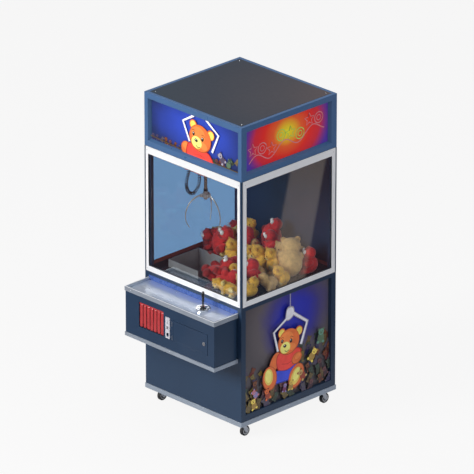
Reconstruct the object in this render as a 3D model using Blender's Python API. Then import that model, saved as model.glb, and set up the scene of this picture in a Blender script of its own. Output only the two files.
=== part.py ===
"""Claw crane machine: cabinet, gantry, telescopic claw, control box, prize chute and castors.

Metres, +Z up, the front faces -Y. The origin is on the floor, at the middle of the machine's outline.
Every function below works in cabinet coordinates (y = 0 at the middle of the cabinet's depth);
place() then moves the piece back by CABINET_Y, because the control box sticks out in front.
"""

import math

import bmesh
import bpy
from mathutils import Matrix, Vector

# ---------------------------------------------------------------- driving dimensions
GAP = 0.0003               # clearance between neighbouring pieces
HALF_W = 0.395             # half of the cabinet's width
HALF_D = 0.381             # half of the cabinet's depth
BASE_Z = 0.089             # underside of the base trim
BODY_Z = 0.1185            # bottom of the lower cabinet
WAIST_Z = 0.8315           # top of the lower cabinet
HEADER_Z = 1.607           # bottom of the marquee
TOP_Z = 1.937
WALL = 0.026               # lower cabinet walls
FLOOR_Z = 0.840            # playfield

BOX_HALF_W = 0.365         # control box
BOX_FRONT = -0.567
BOX_LOW = 0.5105
BOX_HIGH = 0.7675
BOX_WALL = 0.014
TRIM_OUT = 0.004           # how far the aluminium trims stand proud
BUTTON_OUT = 0.0065        # the coin return button is the foremost point

CLAW_X, CLAW_Y = -0.150, -0.133
PIVOT_Z = 1.297            # finger pivots
PIVOT_R = 0.026
TUBE_LOW, TUBE_HIGH = 1.324, 1.560

REAR_HINGE_Y = HALF_D + 0.0005
TRIM_BACK = HALF_D + 0.0035
CABINET_Y = 0.5 * ((-BOX_FRONT + GAP + BUTTON_OUT) - TRIM_BACK)


# ---------------------------------------------------------------- helpers
def material(name, colour, roughness, metallic=0.0, alpha=1.0):
    made = bpy.data.materials.new(name)
    made.use_nodes = True
    shader = made.node_tree.nodes["Principled BSDF"]
    shader.inputs["Base Color"].default_value = (*colour, 1.0)
    shader.inputs["Roughness"].default_value = roughness
    shader.inputs["Metallic"].default_value = metallic
    shader.inputs["Alpha"].default_value = alpha
    return made


def box(x0, x1, y0, y1, z0, z1, bm=None):
    """A box between two corners, added to bm or to a new mesh."""
    bm = bm or bmesh.new()
    size = Matrix.Diagonal((x1 - x0, y1 - y0, z1 - z0, 1.0))
    middle = Matrix.Translation(((x0 + x1) / 2, (y0 + y1) / 2, (z0 + z1) / 2))
    bmesh.ops.create_cube(bm, size=1.0, matrix=middle @ size)
    return bm


def prism(outline, axis, low, high, bm=None):
    """An outline of points in the plane across the given axis, extruded along it."""
    bm = bm or bmesh.new()

    def lift(a, b, c):
        return {"x": (c, a, b), "y": (a, c, b), "z": (a, b, c)}[axis]

    face = bm.faces.new([bm.verts.new(lift(a, b, low)) for a, b in outline])
    swept = bmesh.ops.extrude_face_region(bm, geom=[face])["geom"]
    step = Vector(lift(0.0, 0.0, high - low))
    bmesh.ops.translate(bm, vec=step, verts=[v for v in swept if isinstance(v, bmesh.types.BMVert)])
    return bm


def turned(profile, steps, centre=(0.0, 0.0, 0.0), axis="z", bm=None, turn=0.0):
    """A closed outline of (radius, height) points spun round an axis; radius 0 closes on the axis."""
    bm = bm or bmesh.new()
    frames = {"z": Matrix.Identity(4), "x": Matrix.Rotation(math.radians(90), 4, "Y"),
              "y": Matrix.Rotation(math.radians(-90), 4, "X")}
    place_it = Matrix.Translation(centre) @ frames[axis]
    rings = []
    for radius, height in profile:
        if radius == 0.0:
            rings.append([bm.verts.new(place_it @ Vector((0.0, 0.0, height)))])
            continue
        angles = [turn + math.tau * i / steps for i in range(steps)]
        points = [Vector((radius * math.cos(a), radius * math.sin(a), height)) for a in angles]
        rings.append([bm.verts.new(place_it @ p) for p in points])
    hollow = all(radius > 0.0 for radius, _ in profile)
    pairs = list(zip(rings, rings[1:] + rings[:1])) if hollow else list(zip(rings, rings[1:]))
    for lower, upper in pairs:
        for i in range(steps):
            j = (i + 1) % steps
            corners = [lower[i % len(lower)], lower[j % len(lower)]]
            corners += [upper[j % len(upper)], upper[i % len(upper)]]
            corners = list(dict.fromkeys(corners))
            if len(corners) > 2:
                bm.faces.new(corners)
    return bm


def swept(sections, bm=None):
    """Joins a row of equal sections (lists of points) standing along a path into one closed bar."""
    bm = bm or bmesh.new()
    rings = [[bm.verts.new(point) for point in section] for section in sections]
    for near, far in zip(rings, rings[1:]):
        for i in range(len(near)):
            j = (i + 1) % len(near)
            bm.faces.new((near[i], near[j], far[j], far[i]))
    bm.faces.new(rings[0])
    bm.faces.new(rings[-1])
    return bm


def place(name, bm, look, pivot=(0.0, 0.0, 0.0), smooth=None):
    """Makes the object, with its origin at the pivot."""
    bmesh.ops.recalc_face_normals(bm, faces=bm.faces)
    bmesh.ops.translate(bm, vec=-Vector(pivot), verts=bm.verts)
    mesh = bpy.data.meshes.new(name)
    bm.to_mesh(mesh)
    bm.free()
    if smooth:
        mesh.shade_smooth()
        mesh.set_sharp_from_angle(angle=math.radians(smooth))
    thing = bpy.data.objects.new(name, mesh)
    thing.location = Vector(pivot) + Vector((0.0, CABINET_Y, 0.0))
    thing.data.materials.append(look)
    bpy.context.scene.collection.objects.link(thing)
    return thing


def combine(thing, operation, *pieces):
    """Boolean of the object with each piece in turn; the pieces are used up."""
    for bm in pieces:
        tool = place("tool", bm, thing.data.materials[0])
        step = thing.modifiers.new("step", "BOOLEAN")
        step.operation = operation
        step.object = tool
        bpy.context.view_layer.update()
        graph = bpy.context.evaluated_depsgraph_get()
        mesh = bpy.data.meshes.new_from_object(thing.evaluated_get(graph))
        thing.modifiers.clear()
        thing.data = mesh
        bpy.data.objects.remove(tool, do_unlink=True)
    return thing


def cut(thing, *pieces):
    return combine(thing, "DIFFERENCE", *pieces)


def weld(thing, *pieces):
    return combine(thing, "UNION", *pieces)


# ---------------------------------------------------------------- base and castors
CASTOR_PLACES = [(-0.342, -0.322), (0.342, -0.322), (-0.342, 0.322), (0.342, 0.322)]
CASTOR_NAMES = ["front_left", "front_right", "rear_left", "rear_right"]
WHEEL_R = 0.031
WHEEL_HALF = 0.0115
TRAIL = 0.020              # the axle trails the swivel
AXLE_R = 0.004
WHEEL_STEPS = 20
AXLE_Z = WHEEL_R * math.cos(math.pi / WHEEL_STEPS)     # the wheel stands on one of its flats


def base(paint, aluminium):
    plate = place("base_plate", box(-0.376, 0.376, -0.362, 0.362, 0.0952, 0.1178), paint)
    pads = bmesh.new()
    for x, y in CASTOR_PLACES:
        box(x - 0.034, x + 0.034, y - 0.034, y + 0.034, BASE_Z, 0.0962, pads)
    weld(plate, pads)
    trim_w = HALF_W + 0.0035
    trim = place("base_trim", box(-trim_w, trim_w, -TRIM_BACK, TRIM_BACK, BASE_Z, 0.1182), aluminium)
    cut(trim, box(-0.3765, 0.3765, -0.3625, 0.3625, 0.05, 0.2))


def castors(steel, rubber):
    for (x, y), corner in zip(CASTOR_PLACES, CASTOR_NAMES):
        head = [(0.0, BASE_Z - GAP), (0.024, BASE_Z - GAP), (0.024, 0.0825), (0.0175, 0.0715), (0.0, 0.0715)]
        fork = place("castor_fork_" + corner, turned(head, 16, (x, y, 0.0)), steel, (x, y, 0.0), smooth=35)
        cheeks = bmesh.new()
        outline = [(y - 0.013, 0.0745), (y + 0.016, 0.0745), (y + TRAIL + 0.009, AXLE_Z + 0.004),
                   (y + TRAIL + 0.007, AXLE_Z - 0.008), (y + TRAIL - 0.007, AXLE_Z - 0.008)]
        for side in (-1, 1):
            inner, outer = x + side * 0.0130, x + side * 0.0160
            prism(outline, "x", min(inner, outer), max(inner, outer), cheeks)
        weld(fork, cheeks)
        bore = turned([(0.0, -0.05), (AXLE_R + GAP, -0.05), (AXLE_R + GAP, 0.05), (0.0, 0.05)], WHEEL_STEPS,
                      (x, y + TRAIL, AXLE_Z), "x")
        cut(fork, bore)
        tread = [(0.0, -0.0165), (AXLE_R, -0.0165), (AXLE_R, -0.0122), (0.022, -0.0098), (0.0285, -WHEEL_HALF),
                 (WHEEL_R, -0.008), (WHEEL_R, 0.008), (0.0285, WHEEL_HALF), (0.022, 0.0098), (AXLE_R, 0.0122),
                 (AXLE_R, 0.0165), (0.0, 0.0165)]
        centre = (x, y + TRAIL, AXLE_Z)
        wheel = turned(tread, WHEEL_STEPS, centre, "x", turn=math.pi / WHEEL_STEPS)
        place("castor_wheel_" + corner, wheel, rubber, centre, smooth=35)


# ---------------------------------------------------------------- lower cabinet
GRAPHIC_HALF = 0.345
GRAPHIC_LOW, GRAPHIC_HIGH = 0.157, 0.806
REAR_DOOR_HALF = 0.285
REAR_DOOR_LOW, REAR_DOOR_HIGH = 0.170, 0.780


def lower_cabinet(paint, print_look):
    shell = place("lower_cabinet", box(-HALF_W, HALF_W, -HALF_D, HALF_D, BODY_Z, WAIST_Z), paint)
    inner_w, inner_d = HALF_W - WALL, HALF_D - WALL
    cut(shell, box(-inner_w, inner_w, -inner_d, inner_d, 0.0, 1.0))
    panels = box(-0.6, 0.6, -GRAPHIC_HALF, GRAPHIC_HALF, GRAPHIC_LOW, GRAPHIC_HIGH)
    to_control_box = box(-0.335, 0.335, -0.6, -0.3, 0.545, 0.762)
    doorway = box(-REAR_DOOR_HALF, REAR_DOOR_HALF, 0.3, 0.6, REAR_DOOR_LOW, REAR_DOOR_HIGH)
    cut(shell, panels, to_control_box, doorway)
    for side, name in ((-1, "left"), (1, "right")):
        outer = side * (inner_w - GAP)
        inner = side * (inner_w - GAP - 0.003)
        panel = box(min(outer, inner), max(outer, inner), -0.352, 0.352, 0.146, 0.817)
        place(name + "_side_graphic", panel, print_look)
    door = box(-REAR_DOOR_HALF + 0.001, REAR_DOOR_HALF - 0.001, HALF_D - 0.019, HALF_D,
               REAR_DOOR_LOW + 0.001, REAR_DOOR_HIGH - 0.001)
    pivot = (REAR_DOOR_HALF - 0.001, REAR_HINGE_Y, 0.475)
    lid = place("rear_service_door", door, paint, pivot)
    slots = bmesh.new()
    for row in range(6):
        low = 0.560 + 0.024 * row
        box(-0.12, 0.12, 0.3, 0.5, low, low + 0.010, slots)
    cut(lid, slots)


# ---------------------------------------------------------------- playfield and prize chute
CHUTE_X0, CHUTE_X1 = -0.317, -0.073
CHUTE_Y0, CHUTE_Y1 = -0.270, -0.028
CHUTE_TOP = 0.887
CHUTE_SHEET = 0.003
RAMP_X1 = -0.043
RAMP_ROOF = 0.7575


def playfield(dark_metal):
    half_w, half_d = 0.366, 0.352
    lip, sheet = 0.888, 0.0035
    pan = place("playfield_floor", box(-half_w, half_w, -half_d, half_d, FLOOR_Z - 0.012, FLOOR_Z), dark_metal)
    weld(pan, box(-half_w, -half_w + sheet, -half_d, half_d, FLOOR_Z - 0.006, lip))
    weld(pan, box(-half_w, half_w, half_d - sheet, half_d, FLOOR_Z - 0.006, lip))
    cut(pan, box(CHUTE_X0 - GAP, CHUTE_X1 + GAP, CHUTE_Y0 - GAP, CHUTE_Y1 + GAP, 0.7, 1.0))


def prize_chute(sheet):
    """A square duct on top of a wider ramp, which comes out behind the curtain in the control box."""
    t = CHUTE_SHEET
    mouth = BOX_FRONT + 0.022
    ramp = [(CHUTE_Y1, RAMP_ROOF), (CHUTE_Y1, 0.742), (mouth, 0.562), (mouth, 0.7405), (CHUTE_Y0, RAMP_ROOF)]
    hollow = [(CHUTE_Y1 - t, RAMP_ROOF - t), (CHUTE_Y1 - t, 0.7462), (mouth - 0.010, 0.5618),
              (mouth - 0.010, 0.7368), (CHUTE_Y0, RAMP_ROOF - t)]
    duct = place("prize_chute", prism(ramp, "x", CHUTE_X0, RAMP_X1), sheet)
    weld(duct, box(CHUTE_X0, CHUTE_X1, CHUTE_Y0, CHUTE_Y1, RAMP_ROOF - 0.001, CHUTE_TOP))
    cut(duct, prism(hollow, "x", CHUTE_X0 + t, RAMP_X1 - t))
    cut(duct, box(CHUTE_X0 + t, CHUTE_X1 - t, CHUTE_Y0 + t, CHUTE_Y1 - t, RAMP_ROOF - 0.010, 1.0))


# ---------------------------------------------------------------- window section
FRAME_LOW, FRAME_HIGH = WAIST_Z + 0.0013, HEADER_Z - 0.0008
PANE_LOW, PANE_HIGH = 0.866, 1.562
FRONT_HALF, SIDE_HALF = 0.3845, 0.3705
REBATE = 0.0085            # depth of the recess that each window frame sits in
PANE_SEAT = 0.0056         # depth of the glass rebate in a window frame
PANE_THICK = 0.0046


def upper_frame(paint):
    """Four posts and two rings, welded, with rebates for the three windows and the back door."""
    frame = place("upper_frame", box(-HALF_W, HALF_W, -HALF_D, HALF_D, WAIST_Z + GAP, HEADER_Z), paint)
    cut(frame, box(-0.3665, 0.3665, -0.3525, 0.3525, 0.0, 2.0))
    cut(frame, box(-0.3515, 0.3515, -0.6, 0.6, 0.855, 1.5725))
    cut(frame, box(-0.6, 0.6, -0.3375, 0.3375, 0.855, 1.5725))
    for side in (-1, 1):
        y0, y1 = sorted((side * (HALF_D - REBATE), side * 0.5))
        cut(frame, box(-FRONT_HALF, FRONT_HALF, y0, y1, FRAME_LOW - 0.0005, FRAME_HIGH + 0.0005))
        x0, x1 = sorted((side * (HALF_W - REBATE), side * 0.5))
        cut(frame, box(x0, x1, -SIDE_HALF, SIDE_HALF, FRAME_LOW - 0.0005, FRAME_HIGH + 0.0005))


def windows(aluminium, glass, tinted):
    """Each window is an aluminium ring with a rebate on its back and a 5 mm pane in it."""
    proud = 0.002
    front_face = -HALF_D - proud
    seat = -HALF_D + REBATE - GAP
    ring = place("front_window_frame", box(-FRONT_HALF + GAP, FRONT_HALF - GAP, front_face, seat,
                                           FRAME_LOW, FRAME_HIGH), aluminium)
    cut(ring, box(-0.364, 0.364, -1.0, 0.0, PANE_LOW, PANE_HIGH))
    cut(ring, box(-0.3735, 0.3735, seat - PANE_SEAT, 0.0, PANE_LOW - 0.0095, PANE_HIGH + 0.0095))
    place("front_window_glass", box(-0.3732, 0.3732, seat - GAP - PANE_THICK, seat - GAP, PANE_LOW - 0.0090,
                                    PANE_HIGH + 0.0090), glass)
    for side, name, look in ((-1, "left", tinted), (1, "right", glass)):
        x0, x1 = sorted((side * (HALF_W + proud), side * (HALF_W - REBATE + GAP)))
        ring = place(name + "_window_frame", box(x0, x1, -SIDE_HALF + GAP, SIDE_HALF - GAP, FRAME_LOW,
                                                 FRAME_HIGH), aluminium)
        cut(ring, box(-1.0, 1.0, -0.342, 0.342, PANE_LOW, PANE_HIGH))
        seat_x = side * (HALF_W - REBATE + GAP)
        x0, x1 = sorted((seat_x + side * PANE_SEAT, side * 0.2))
        cut(ring, box(x0, x1, -0.3515, 0.3515, PANE_LOW - 0.0095, PANE_HIGH + 0.0095))
        x0, x1 = sorted((seat_x + side * (GAP + PANE_THICK), seat_x + side * GAP))
        pane = box(x0, x1, -0.3512, 0.3512, PANE_LOW - 0.0090, PANE_HIGH + 0.0090)
        place(name + "_window_glass", pane, look)


def back_door(paint):
    """The whole rear wall of the play area is a door for refilling, hinged at the right."""
    pivot = (FRONT_HALF - 0.0012, REAR_HINGE_Y, 1.22)
    door = box(-FRONT_HALF + 0.0012, FRONT_HALF - 0.0012, HALF_D - REBATE + 0.0005, HALF_D,
               FRAME_LOW + 0.0008, FRAME_HIGH - 0.0008)
    leaf = place("back_door", door, paint, pivot)
    cut(leaf, box(-0.345, 0.345, HALF_D - 0.003, 0.5, 0.880, 1.560))


# ---------------------------------------------------------------- marquee
SIGN_WALL = 0.022


def tapered(axis, half, low, high, outer, inner, spread, sign):
    """A cutter that narrows inwards, so that the sign's opening gets sloping edges."""
    bm = bmesh.new()
    rings = []
    for depth, grow in ((sign * (abs(outer) + 0.02), spread * (1 + 0.02 / SIGN_WALL)), (inner, 0.0)):
        corners = [(-half - grow, low - grow), (half + grow, low - grow), (half + grow, high + grow),
                   (-half - grow, high + grow)]
        points = [(depth, a, b) if axis == "x" else (a, depth, b) for a, b in corners]
        rings.append([bm.verts.new(p) for p in points])
    for i in range(4):
        j = (i + 1) % 4
        bm.faces.new((rings[0][i], rings[0][j], rings[1][j], rings[1][i]))
    bm.faces.new(rings[0])
    bm.faces.new(rings[1])
    bmesh.ops.recalc_face_normals(bm, faces=bm.faces)
    return bm


def marquee(paint, print_look, lamp):
    low = HEADER_Z + GAP
    housing = place("marquee_housing", box(-HALF_W, HALF_W, -HALF_D, HALF_D, low, TOP_Z), paint)
    inner_w, inner_d = HALF_W - SIGN_WALL, HALF_D - SIGN_WALL
    cut(housing, box(-inner_w, inner_w, -inner_d, inner_d, 1.0, 3.0))
    bevel = 0.012
    cut(housing, tapered("y", 0.355, 1.652, 1.890, -HALF_D, -inner_d + 0.001, bevel, -1))
    for side in (-1, 1):
        cut(housing, tapered("x", 0.327, 1.652, 1.890, side * HALF_W, side * (inner_w - 0.001), bevel, side))
    sheet = 0.003
    front = box(-0.3660, 0.3660, -inner_d + GAP, -inner_d + GAP + sheet, 1.640, 1.902)
    place("marquee_front_panel", front, print_look)
    for side, name in ((-1, "left"), (1, "right")):
        x0, x1 = sorted((side * (inner_w - GAP), side * (inner_w - GAP - sheet)))
        place("marquee_" + name + "_panel", box(x0, x1, -0.350, 0.350, 1.640, 1.902), print_look)
    cover = box(-inner_w + 0.0005, inner_w - 0.0005, -inner_d + 0.0005, inner_d - 0.0005, TOP_Z - 0.012, TOP_Z)
    place("marquee_top_cover", cover, paint)
    light = place("marquee_light", box(-0.300, 0.300, -0.022, 0.022, TOP_Z - 0.0373, TOP_Z - 0.0123), lamp)
    tube = [(0.0, -0.290), (0.013, -0.290), (0.013, 0.290), (0.0, 0.290)]
    weld(light, turned(tube, 16, (0.0, 0.0, TOP_Z - 0.0420), "x"))


# ---------------------------------------------------------------- control box
CURTAIN_X0, CURTAIN_X1 = -0.254, -0.051
CURTAIN_LOW, CURTAIN_HIGH = 0.575, 0.730
COIN_DOOR = (0.0215, 0.3095, 0.5695, 0.7005)
COIN_PLATE = (-0.031, 0.004, 0.5785, 0.7090)
DECK_TOP = 0.781


def control_box(paint, aluminium, brushed):
    front, high = BOX_FRONT, BOX_HIGH
    back = -HALF_D - GAP
    housing = place("control_box", box(-BOX_HALF_W, BOX_HALF_W, front, back, BOX_LOW, high), paint)
    cut(housing, box(-BOX_HALF_W + BOX_WALL, BOX_HALF_W - BOX_WALL, front + BOX_WALL, 0.0,
                     BOX_LOW + 0.012, 1.0))
    for side in (-1, 1):
        x0, x1 = sorted((side * (BOX_HALF_W - 0.007), side * 0.5))
        cut(housing, box(x0, x1, back - 0.014, 0.0, 0.3, 1.0))
    cut(housing, box(CURTAIN_X0, CURTAIN_X1, -0.7, front + 0.03, CURTAIN_LOW, CURTAIN_HIGH))
    x0, x1, z0, z1 = COIN_DOOR
    cut(housing, box(x0 - 0.001, x1 + 0.001, -0.7, front + 0.0105, z0 - 0.001, z1 + 0.001))
    cut(housing, box(x0 + 0.012, x1 - 0.012, -0.7, front + 0.03, z0 + 0.012, z1 - 0.012))
    x0, x1, z0, z1 = COIN_PLATE
    cut(housing, box(x0 + 0.0095, x1 - 0.0095, -0.7, front + 0.03, z0 + 0.018, z1 - 0.016))

    deck = box(-0.3547, 0.3547, front + TRIM_OUT + 0.0063, back, high + GAP, DECK_TOP)
    deck = place("control_deck", deck, brushed)
    hole = [(0.0, 0.6), (0.0215, 0.6), (0.0215, 1.0), (0.0, 1.0)]
    cut(deck, turned(hole, 24, (STICK_X, STICK_Y, 0.0)))

    outer_w, outer_front = BOX_HALF_W + TRIM_OUT, front - TRIM_OUT
    rim = place("deck_trim", box(-outer_w, outer_w, outer_front, back, high + GAP, 0.795), aluminium)
    cut(rim, box(-0.3550, 0.3550, front + TRIM_OUT + 0.0060, 0.0, 0.7, 1.0))
    skirt = place("box_bottom_trim", box(-outer_w, outer_w, outer_front, back, 0.487, BOX_LOW - GAP), aluminium)
    cut(skirt, box(-0.3500, 0.3500, front + 0.013, 0.0, 0.4, 0.6))


def prize_curtain(vinyl):
    """Seven vinyl strips hanging from one header bar, hinged at the bar."""
    y = BOX_FRONT + 0.0075
    top = CURTAIN_HIGH - 0.0015
    pivot = (0.5 * (CURTAIN_X0 + CURTAIN_X1), y, top - 0.005)
    bar = place("prize_curtain", box(CURTAIN_X0 + 0.0015, CURTAIN_X1 - 0.0015, y - 0.004, y + 0.004,
                                     top - 0.010, top), vinyl, pivot)
    strips = bmesh.new()
    pitch = (CURTAIN_X1 - CURTAIN_X0 - 0.003) / 7
    for i in range(7):
        left = CURTAIN_X0 + 0.0015 + pitch * i
        box(left + 0.0018, left + pitch - 0.0018, y - 0.0012, y + 0.0012, CURTAIN_LOW + 0.003,
            top - 0.008, strips)
    weld(bar, strips)


def coin_parts(steel, paint, button_look):
    x0, x1, z0, z1 = COIN_PLATE
    face = BOX_FRONT - GAP
    middle = 0.5 * (x0 + x1)
    plate = place("coin_plate", box(x0, x1, face - 0.004, face, z0, z1), steel)
    cut(plate, box(middle - 0.0016, middle + 0.0016, -0.7, 0.0, z1 - 0.045, z1 - 0.017))
    cut(plate, box(middle - 0.0065, middle + 0.0065, -0.7, 0.0, z1 - 0.072, z1 - 0.054))
    cut(plate, box(middle - 0.0090, middle + 0.0090, -0.7, 0.0, z0 + 0.010, z0 + 0.034))
    low = z1 - 0.072
    button = box(middle - 0.0061, middle + 0.0061, face - BUTTON_OUT, face + 0.010, low + 0.0004,
                 low + 0.0176)
    place("coin_return_button", button, button_look, (middle, face, low + 0.009))

    x0, x1, z0, z1 = COIN_DOOR
    outer, inner = BOX_FRONT - 0.0015, BOX_FRONT + 0.0100
    pivot = (x0, outer - 0.0002, 0.5 * (z0 + z1))
    door = place("coin_door", box(x0, x1, outer, inner, z0, z1), paint, pivot)
    cut(door, box(x0 + 0.010, x1 - 0.020, outer - 0.01, outer + 0.0012, z0 + 0.010, z1 - 0.010))
    centre = (0.283, 0.0, 0.637)
    hole = [(0.0, -0.7), (0.0093, -0.7), (0.0093, -0.5), (0.0, -0.5)]
    cut(door, turned(hole, 20, centre, "y"))
    barrel = [(0.0, outer - 0.0040), (0.0100, outer - 0.0040), (0.0110, outer - 0.0030),
              (0.0110, outer - 0.0004), (0.0090, outer - 0.0004), (0.0090, inner + 0.007), (0.0, inner + 0.007)]
    lock = place("coin_door_lock", turned(barrel, 20, centre, "y"), steel, (0.283, outer, 0.637), smooth=35)
    cut(lock, box(0.2821, 0.2839, -0.7, outer - 0.0010, 0.6325, 0.6415))
    tongue = box(0.276, 0.290, inner + 0.0045, inner + 0.0065, 0.609, 0.645)
    weld(lock, tongue)
    bucket = place("coin_box", box(0.060, 0.235, -0.500, -0.390, 0.5228, 0.600), steel)
    cut(bucket, box(0.062, 0.233, -0.498, -0.392, 0.5248, 0.7))


# ---------------------------------------------------------------- joystick
STICK_X, STICK_Y = 0.166, -0.462
STICK_PIVOT_Z = 0.770
PIN_R = 0.0015


def joystick(chrome, black, red):
    here = (STICK_X, STICK_Y, 0.0)
    pivot = (STICK_X, STICK_Y, STICK_PIVOT_Z)
    top = DECK_TOP + GAP
    dish = [(0.0190, 0.7520), (0.0210, 0.7520), (0.0210, top), (0.0400, top), (0.0455, top + 0.0105),
            (0.0440, top + 0.0120), (0.0340, top + 0.0110), (0.0190, top + 0.0060)]
    seat = place("joystick_base", turned(dish, 16, here), chrome, here, smooth=35)
    cut(seat, turned([(0.0, -0.03), (PIN_R + GAP, -0.03), (PIN_R + GAP, 0.03), (0.0, 0.03)], 8, pivot, "x"))
    ring = place("joystick_gimbal", box(STICK_X - 0.0115, STICK_X + 0.0115, STICK_Y - 0.0115, STICK_Y + 0.0115,
                                        STICK_PIVOT_Z - 0.005, STICK_PIVOT_Z + 0.005), chrome, pivot)
    weld(ring, turned([(0.0, -0.0203), (PIN_R, -0.0203), (PIN_R, 0.0203), (0.0, 0.0203)], 8, pivot, "x"))
    cut(ring, box(STICK_X - 0.0080, STICK_X + 0.0080, STICK_Y - 0.0080, STICK_Y + 0.0080, 0.5, 1.0))
    cut(ring, turned([(0.0, -0.03), (PIN_R + GAP, -0.03), (PIN_R + GAP, 0.03), (0.0, 0.03)], 8, pivot, "y"))
    grip = [(0.0, 0.728), (0.0050, 0.728), (0.0050, 0.766), (0.0060, 0.770), (0.0050, 0.774),
            (0.0050, 0.806), (0.0062, 0.820), (0.0078, 0.845), (0.0092, 0.862), (0.0098, 0.874),
            (0.0088, 0.8835), (0.0072, 0.8865), (0.0072, 0.8780), (0.0, 0.8780)]
    stick = place("joystick_stick", turned(grip, 16, here), black, pivot, smooth=35)
    pin = [(0.0, -0.0112), (PIN_R, -0.0112), (PIN_R, 0.0112), (0.0, 0.0112)]
    weld(stick, turned(pin, 8, pivot, "y"))
    press = [(0.0, 0.8820), (0.0066, 0.8820), (0.0066, 0.8905), (0.0050, 0.8930), (0.0, 0.8936)]
    place("drop_button", turned(press, 16, here), red, (STICK_X, STICK_Y, 0.882), smooth=35)


# ---------------------------------------------------------------- gantry
RAIL_IN, RAIL_OUT = 0.336, 0.3660
RAIL_LOW, RAIL_HIGH = 1.5745, 1.6055
BAR_Z = 1.590
BAR_SPREAD = 0.060
TRUCK_X = 0.3615           # end of the truck rollers inside the rail
CARRIAGE_LOW, CARRIAGE_HIGH = 1.459, 1.6035


def gantry(aluminium, dark_red, steel):
    for side, name in ((-1, "left"), (1, "right")):
        x0, x1 = sorted((side * RAIL_IN, side * RAIL_OUT))
        rail = place("gantry_rail_" + name, box(x0, x1, -0.345, 0.345, RAIL_LOW, RAIL_HIGH), aluminium)
        x0, x1 = sorted((side * 0.2, side * (RAIL_OUT - 0.003)))
        cut(rail, box(x0, x1, -0.5, 0.5, RAIL_LOW + 0.003, RAIL_HIGH - 0.003))

    bridge = place("gantry_bridge", box(-0.334, 0.334, CLAW_Y - BAR_SPREAD - 0.007, CLAW_Y - BAR_SPREAD + 0.007,
                                        BAR_Z - 0.007, BAR_Z + 0.007), steel, (0.0, CLAW_Y, BAR_Z))
    bars = box(-0.334, 0.334, CLAW_Y + BAR_SPREAD - 0.007, CLAW_Y + BAR_SPREAD + 0.007, BAR_Z - 0.007,
               BAR_Z + 0.007)
    trucks = bmesh.new()
    for side in (-1, 1):
        x0, x1 = sorted((side * 0.318, side * 0.334))
        box(x0, x1, CLAW_Y - 0.115, CLAW_Y + 0.085, BAR_Z - 0.015, BAR_Z + 0.013, trucks)
    rollers = bmesh.new()
    for side in (-1, 1):
        for shift in (-0.070, 0.070):
            x0, x1 = sorted((side * 0.330, side * TRUCK_X))
            middle = CLAW_Y + shift
            box(x0, x1, middle - 0.010, middle + 0.010, BAR_Z - 0.010, BAR_Z + 0.010, rollers)
    arm = box(-0.326, -0.150, CLAW_Y - 0.117, CLAW_Y - 0.103, 1.556, 1.580)
    weld(bridge, bars, trucks, rollers, arm)

    low, high = CARRIAGE_LOW, CARRIAGE_HIGH
    carriage = place("trolley_carriage", box(CLAW_X - 0.085, CLAW_X + 0.085, CLAW_Y - 0.085, CLAW_Y + 0.085,
                                             low, high), dark_red, (CLAW_X, CLAW_Y, BAR_Z))
    cut(carriage, box(CLAW_X - 0.070, CLAW_X + 0.070, CLAW_Y - 0.046, CLAW_Y + 0.046, low + 0.006, 2.0))
    for shift in (-BAR_SPREAD, BAR_SPREAD):
        cut(carriage, box(-1.0, 1.0, CLAW_Y + shift - 0.0085, CLAW_Y + shift + 0.0085, BAR_Z - 0.0085,
                          BAR_Z + 0.0085))
    cut(carriage, box(-1.0, 1.0, CLAW_Y - 0.2, CLAW_Y - BAR_SPREAD - 0.015, low + 0.030, 2.0))
    cut(carriage, box(-1.0, 1.0, CLAW_Y + BAR_SPREAD + 0.015, CLAW_Y + 0.2, low + 0.030, 2.0))
    bore = [(0.0, 1.0), (0.0099, 1.0), (0.0099, 1.5), (0.0, 1.5)]
    cut(carriage, turned(bore, 24, (CLAW_X, CLAW_Y, 0.0)))

    axis_z = 1.5835
    drum_y = CLAW_Y + 0.013
    drum = [(0.0033, -0.016), (0.0160, -0.016), (0.0160, -0.0135), (0.0120, -0.0120), (0.0120, 0.0120),
            (0.0160, 0.0135), (0.0160, 0.016), (0.0033, 0.016)]
    spool_at = (CLAW_X, drum_y, axis_z)
    place("winch_drum", turned(drum, 20, spool_at, "x"), steel, spool_at, smooth=35)
    body = [(0.0, -0.0170), (0.0030, -0.0170), (0.0030, 0.0180), (0.0170, 0.0180), (0.0170, 0.0650),
            (0.0, 0.0650)]
    motor = place("winch_motor", turned(body, 20, spool_at, "x"), steel, spool_at, smooth=35)
    foot = box(CLAW_X + 0.022, CLAW_X + 0.060, drum_y - 0.012, drum_y + 0.012, low + 0.0063, axis_z - 0.008)
    weld(motor, foot)


def telescope(chrome):
    here = (CLAW_X, CLAW_Y, 0.0)
    seat = CARRIAGE_LOW + 0.006 + GAP
    outer = [(0.0066, TUBE_LOW), (0.0095, TUBE_LOW), (0.0095, seat), (0.0160, seat), (0.0160, seat + 0.004),
             (0.0095, seat + 0.004), (0.0095, TUBE_HIGH), (0.0066, TUBE_HIGH)]
    place("telescope_outer", turned(outer, 24, here), chrome, here, smooth=35)
    inner = [(0.0, 1.3015), (0.0062, 1.3015), (0.0062, TUBE_HIGH - 0.004), (0.0045, TUBE_HIGH - 0.004),
             (0.0045, TUBE_HIGH - 0.020), (0.0, TUBE_HIGH - 0.020)]
    place("telescope_inner", turned(inner, 24, here), chrome, here, smooth=35)


# ---------------------------------------------------------------- claw
FINGER_TURNS = [0.0, 120.0, 240.0]
FINGER_CURVE = [(0.026, 1.2985), (0.085, 1.3010), (0.160, 1.1900), (0.095, 1.1050)]


def bezier(points, t):
    a, b, c, d = [Vector(p) for p in points]
    s = 1.0 - t
    return s ** 3 * a + 3 * s * s * t * b + 3 * s * t * t * c + t ** 3 * d


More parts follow.
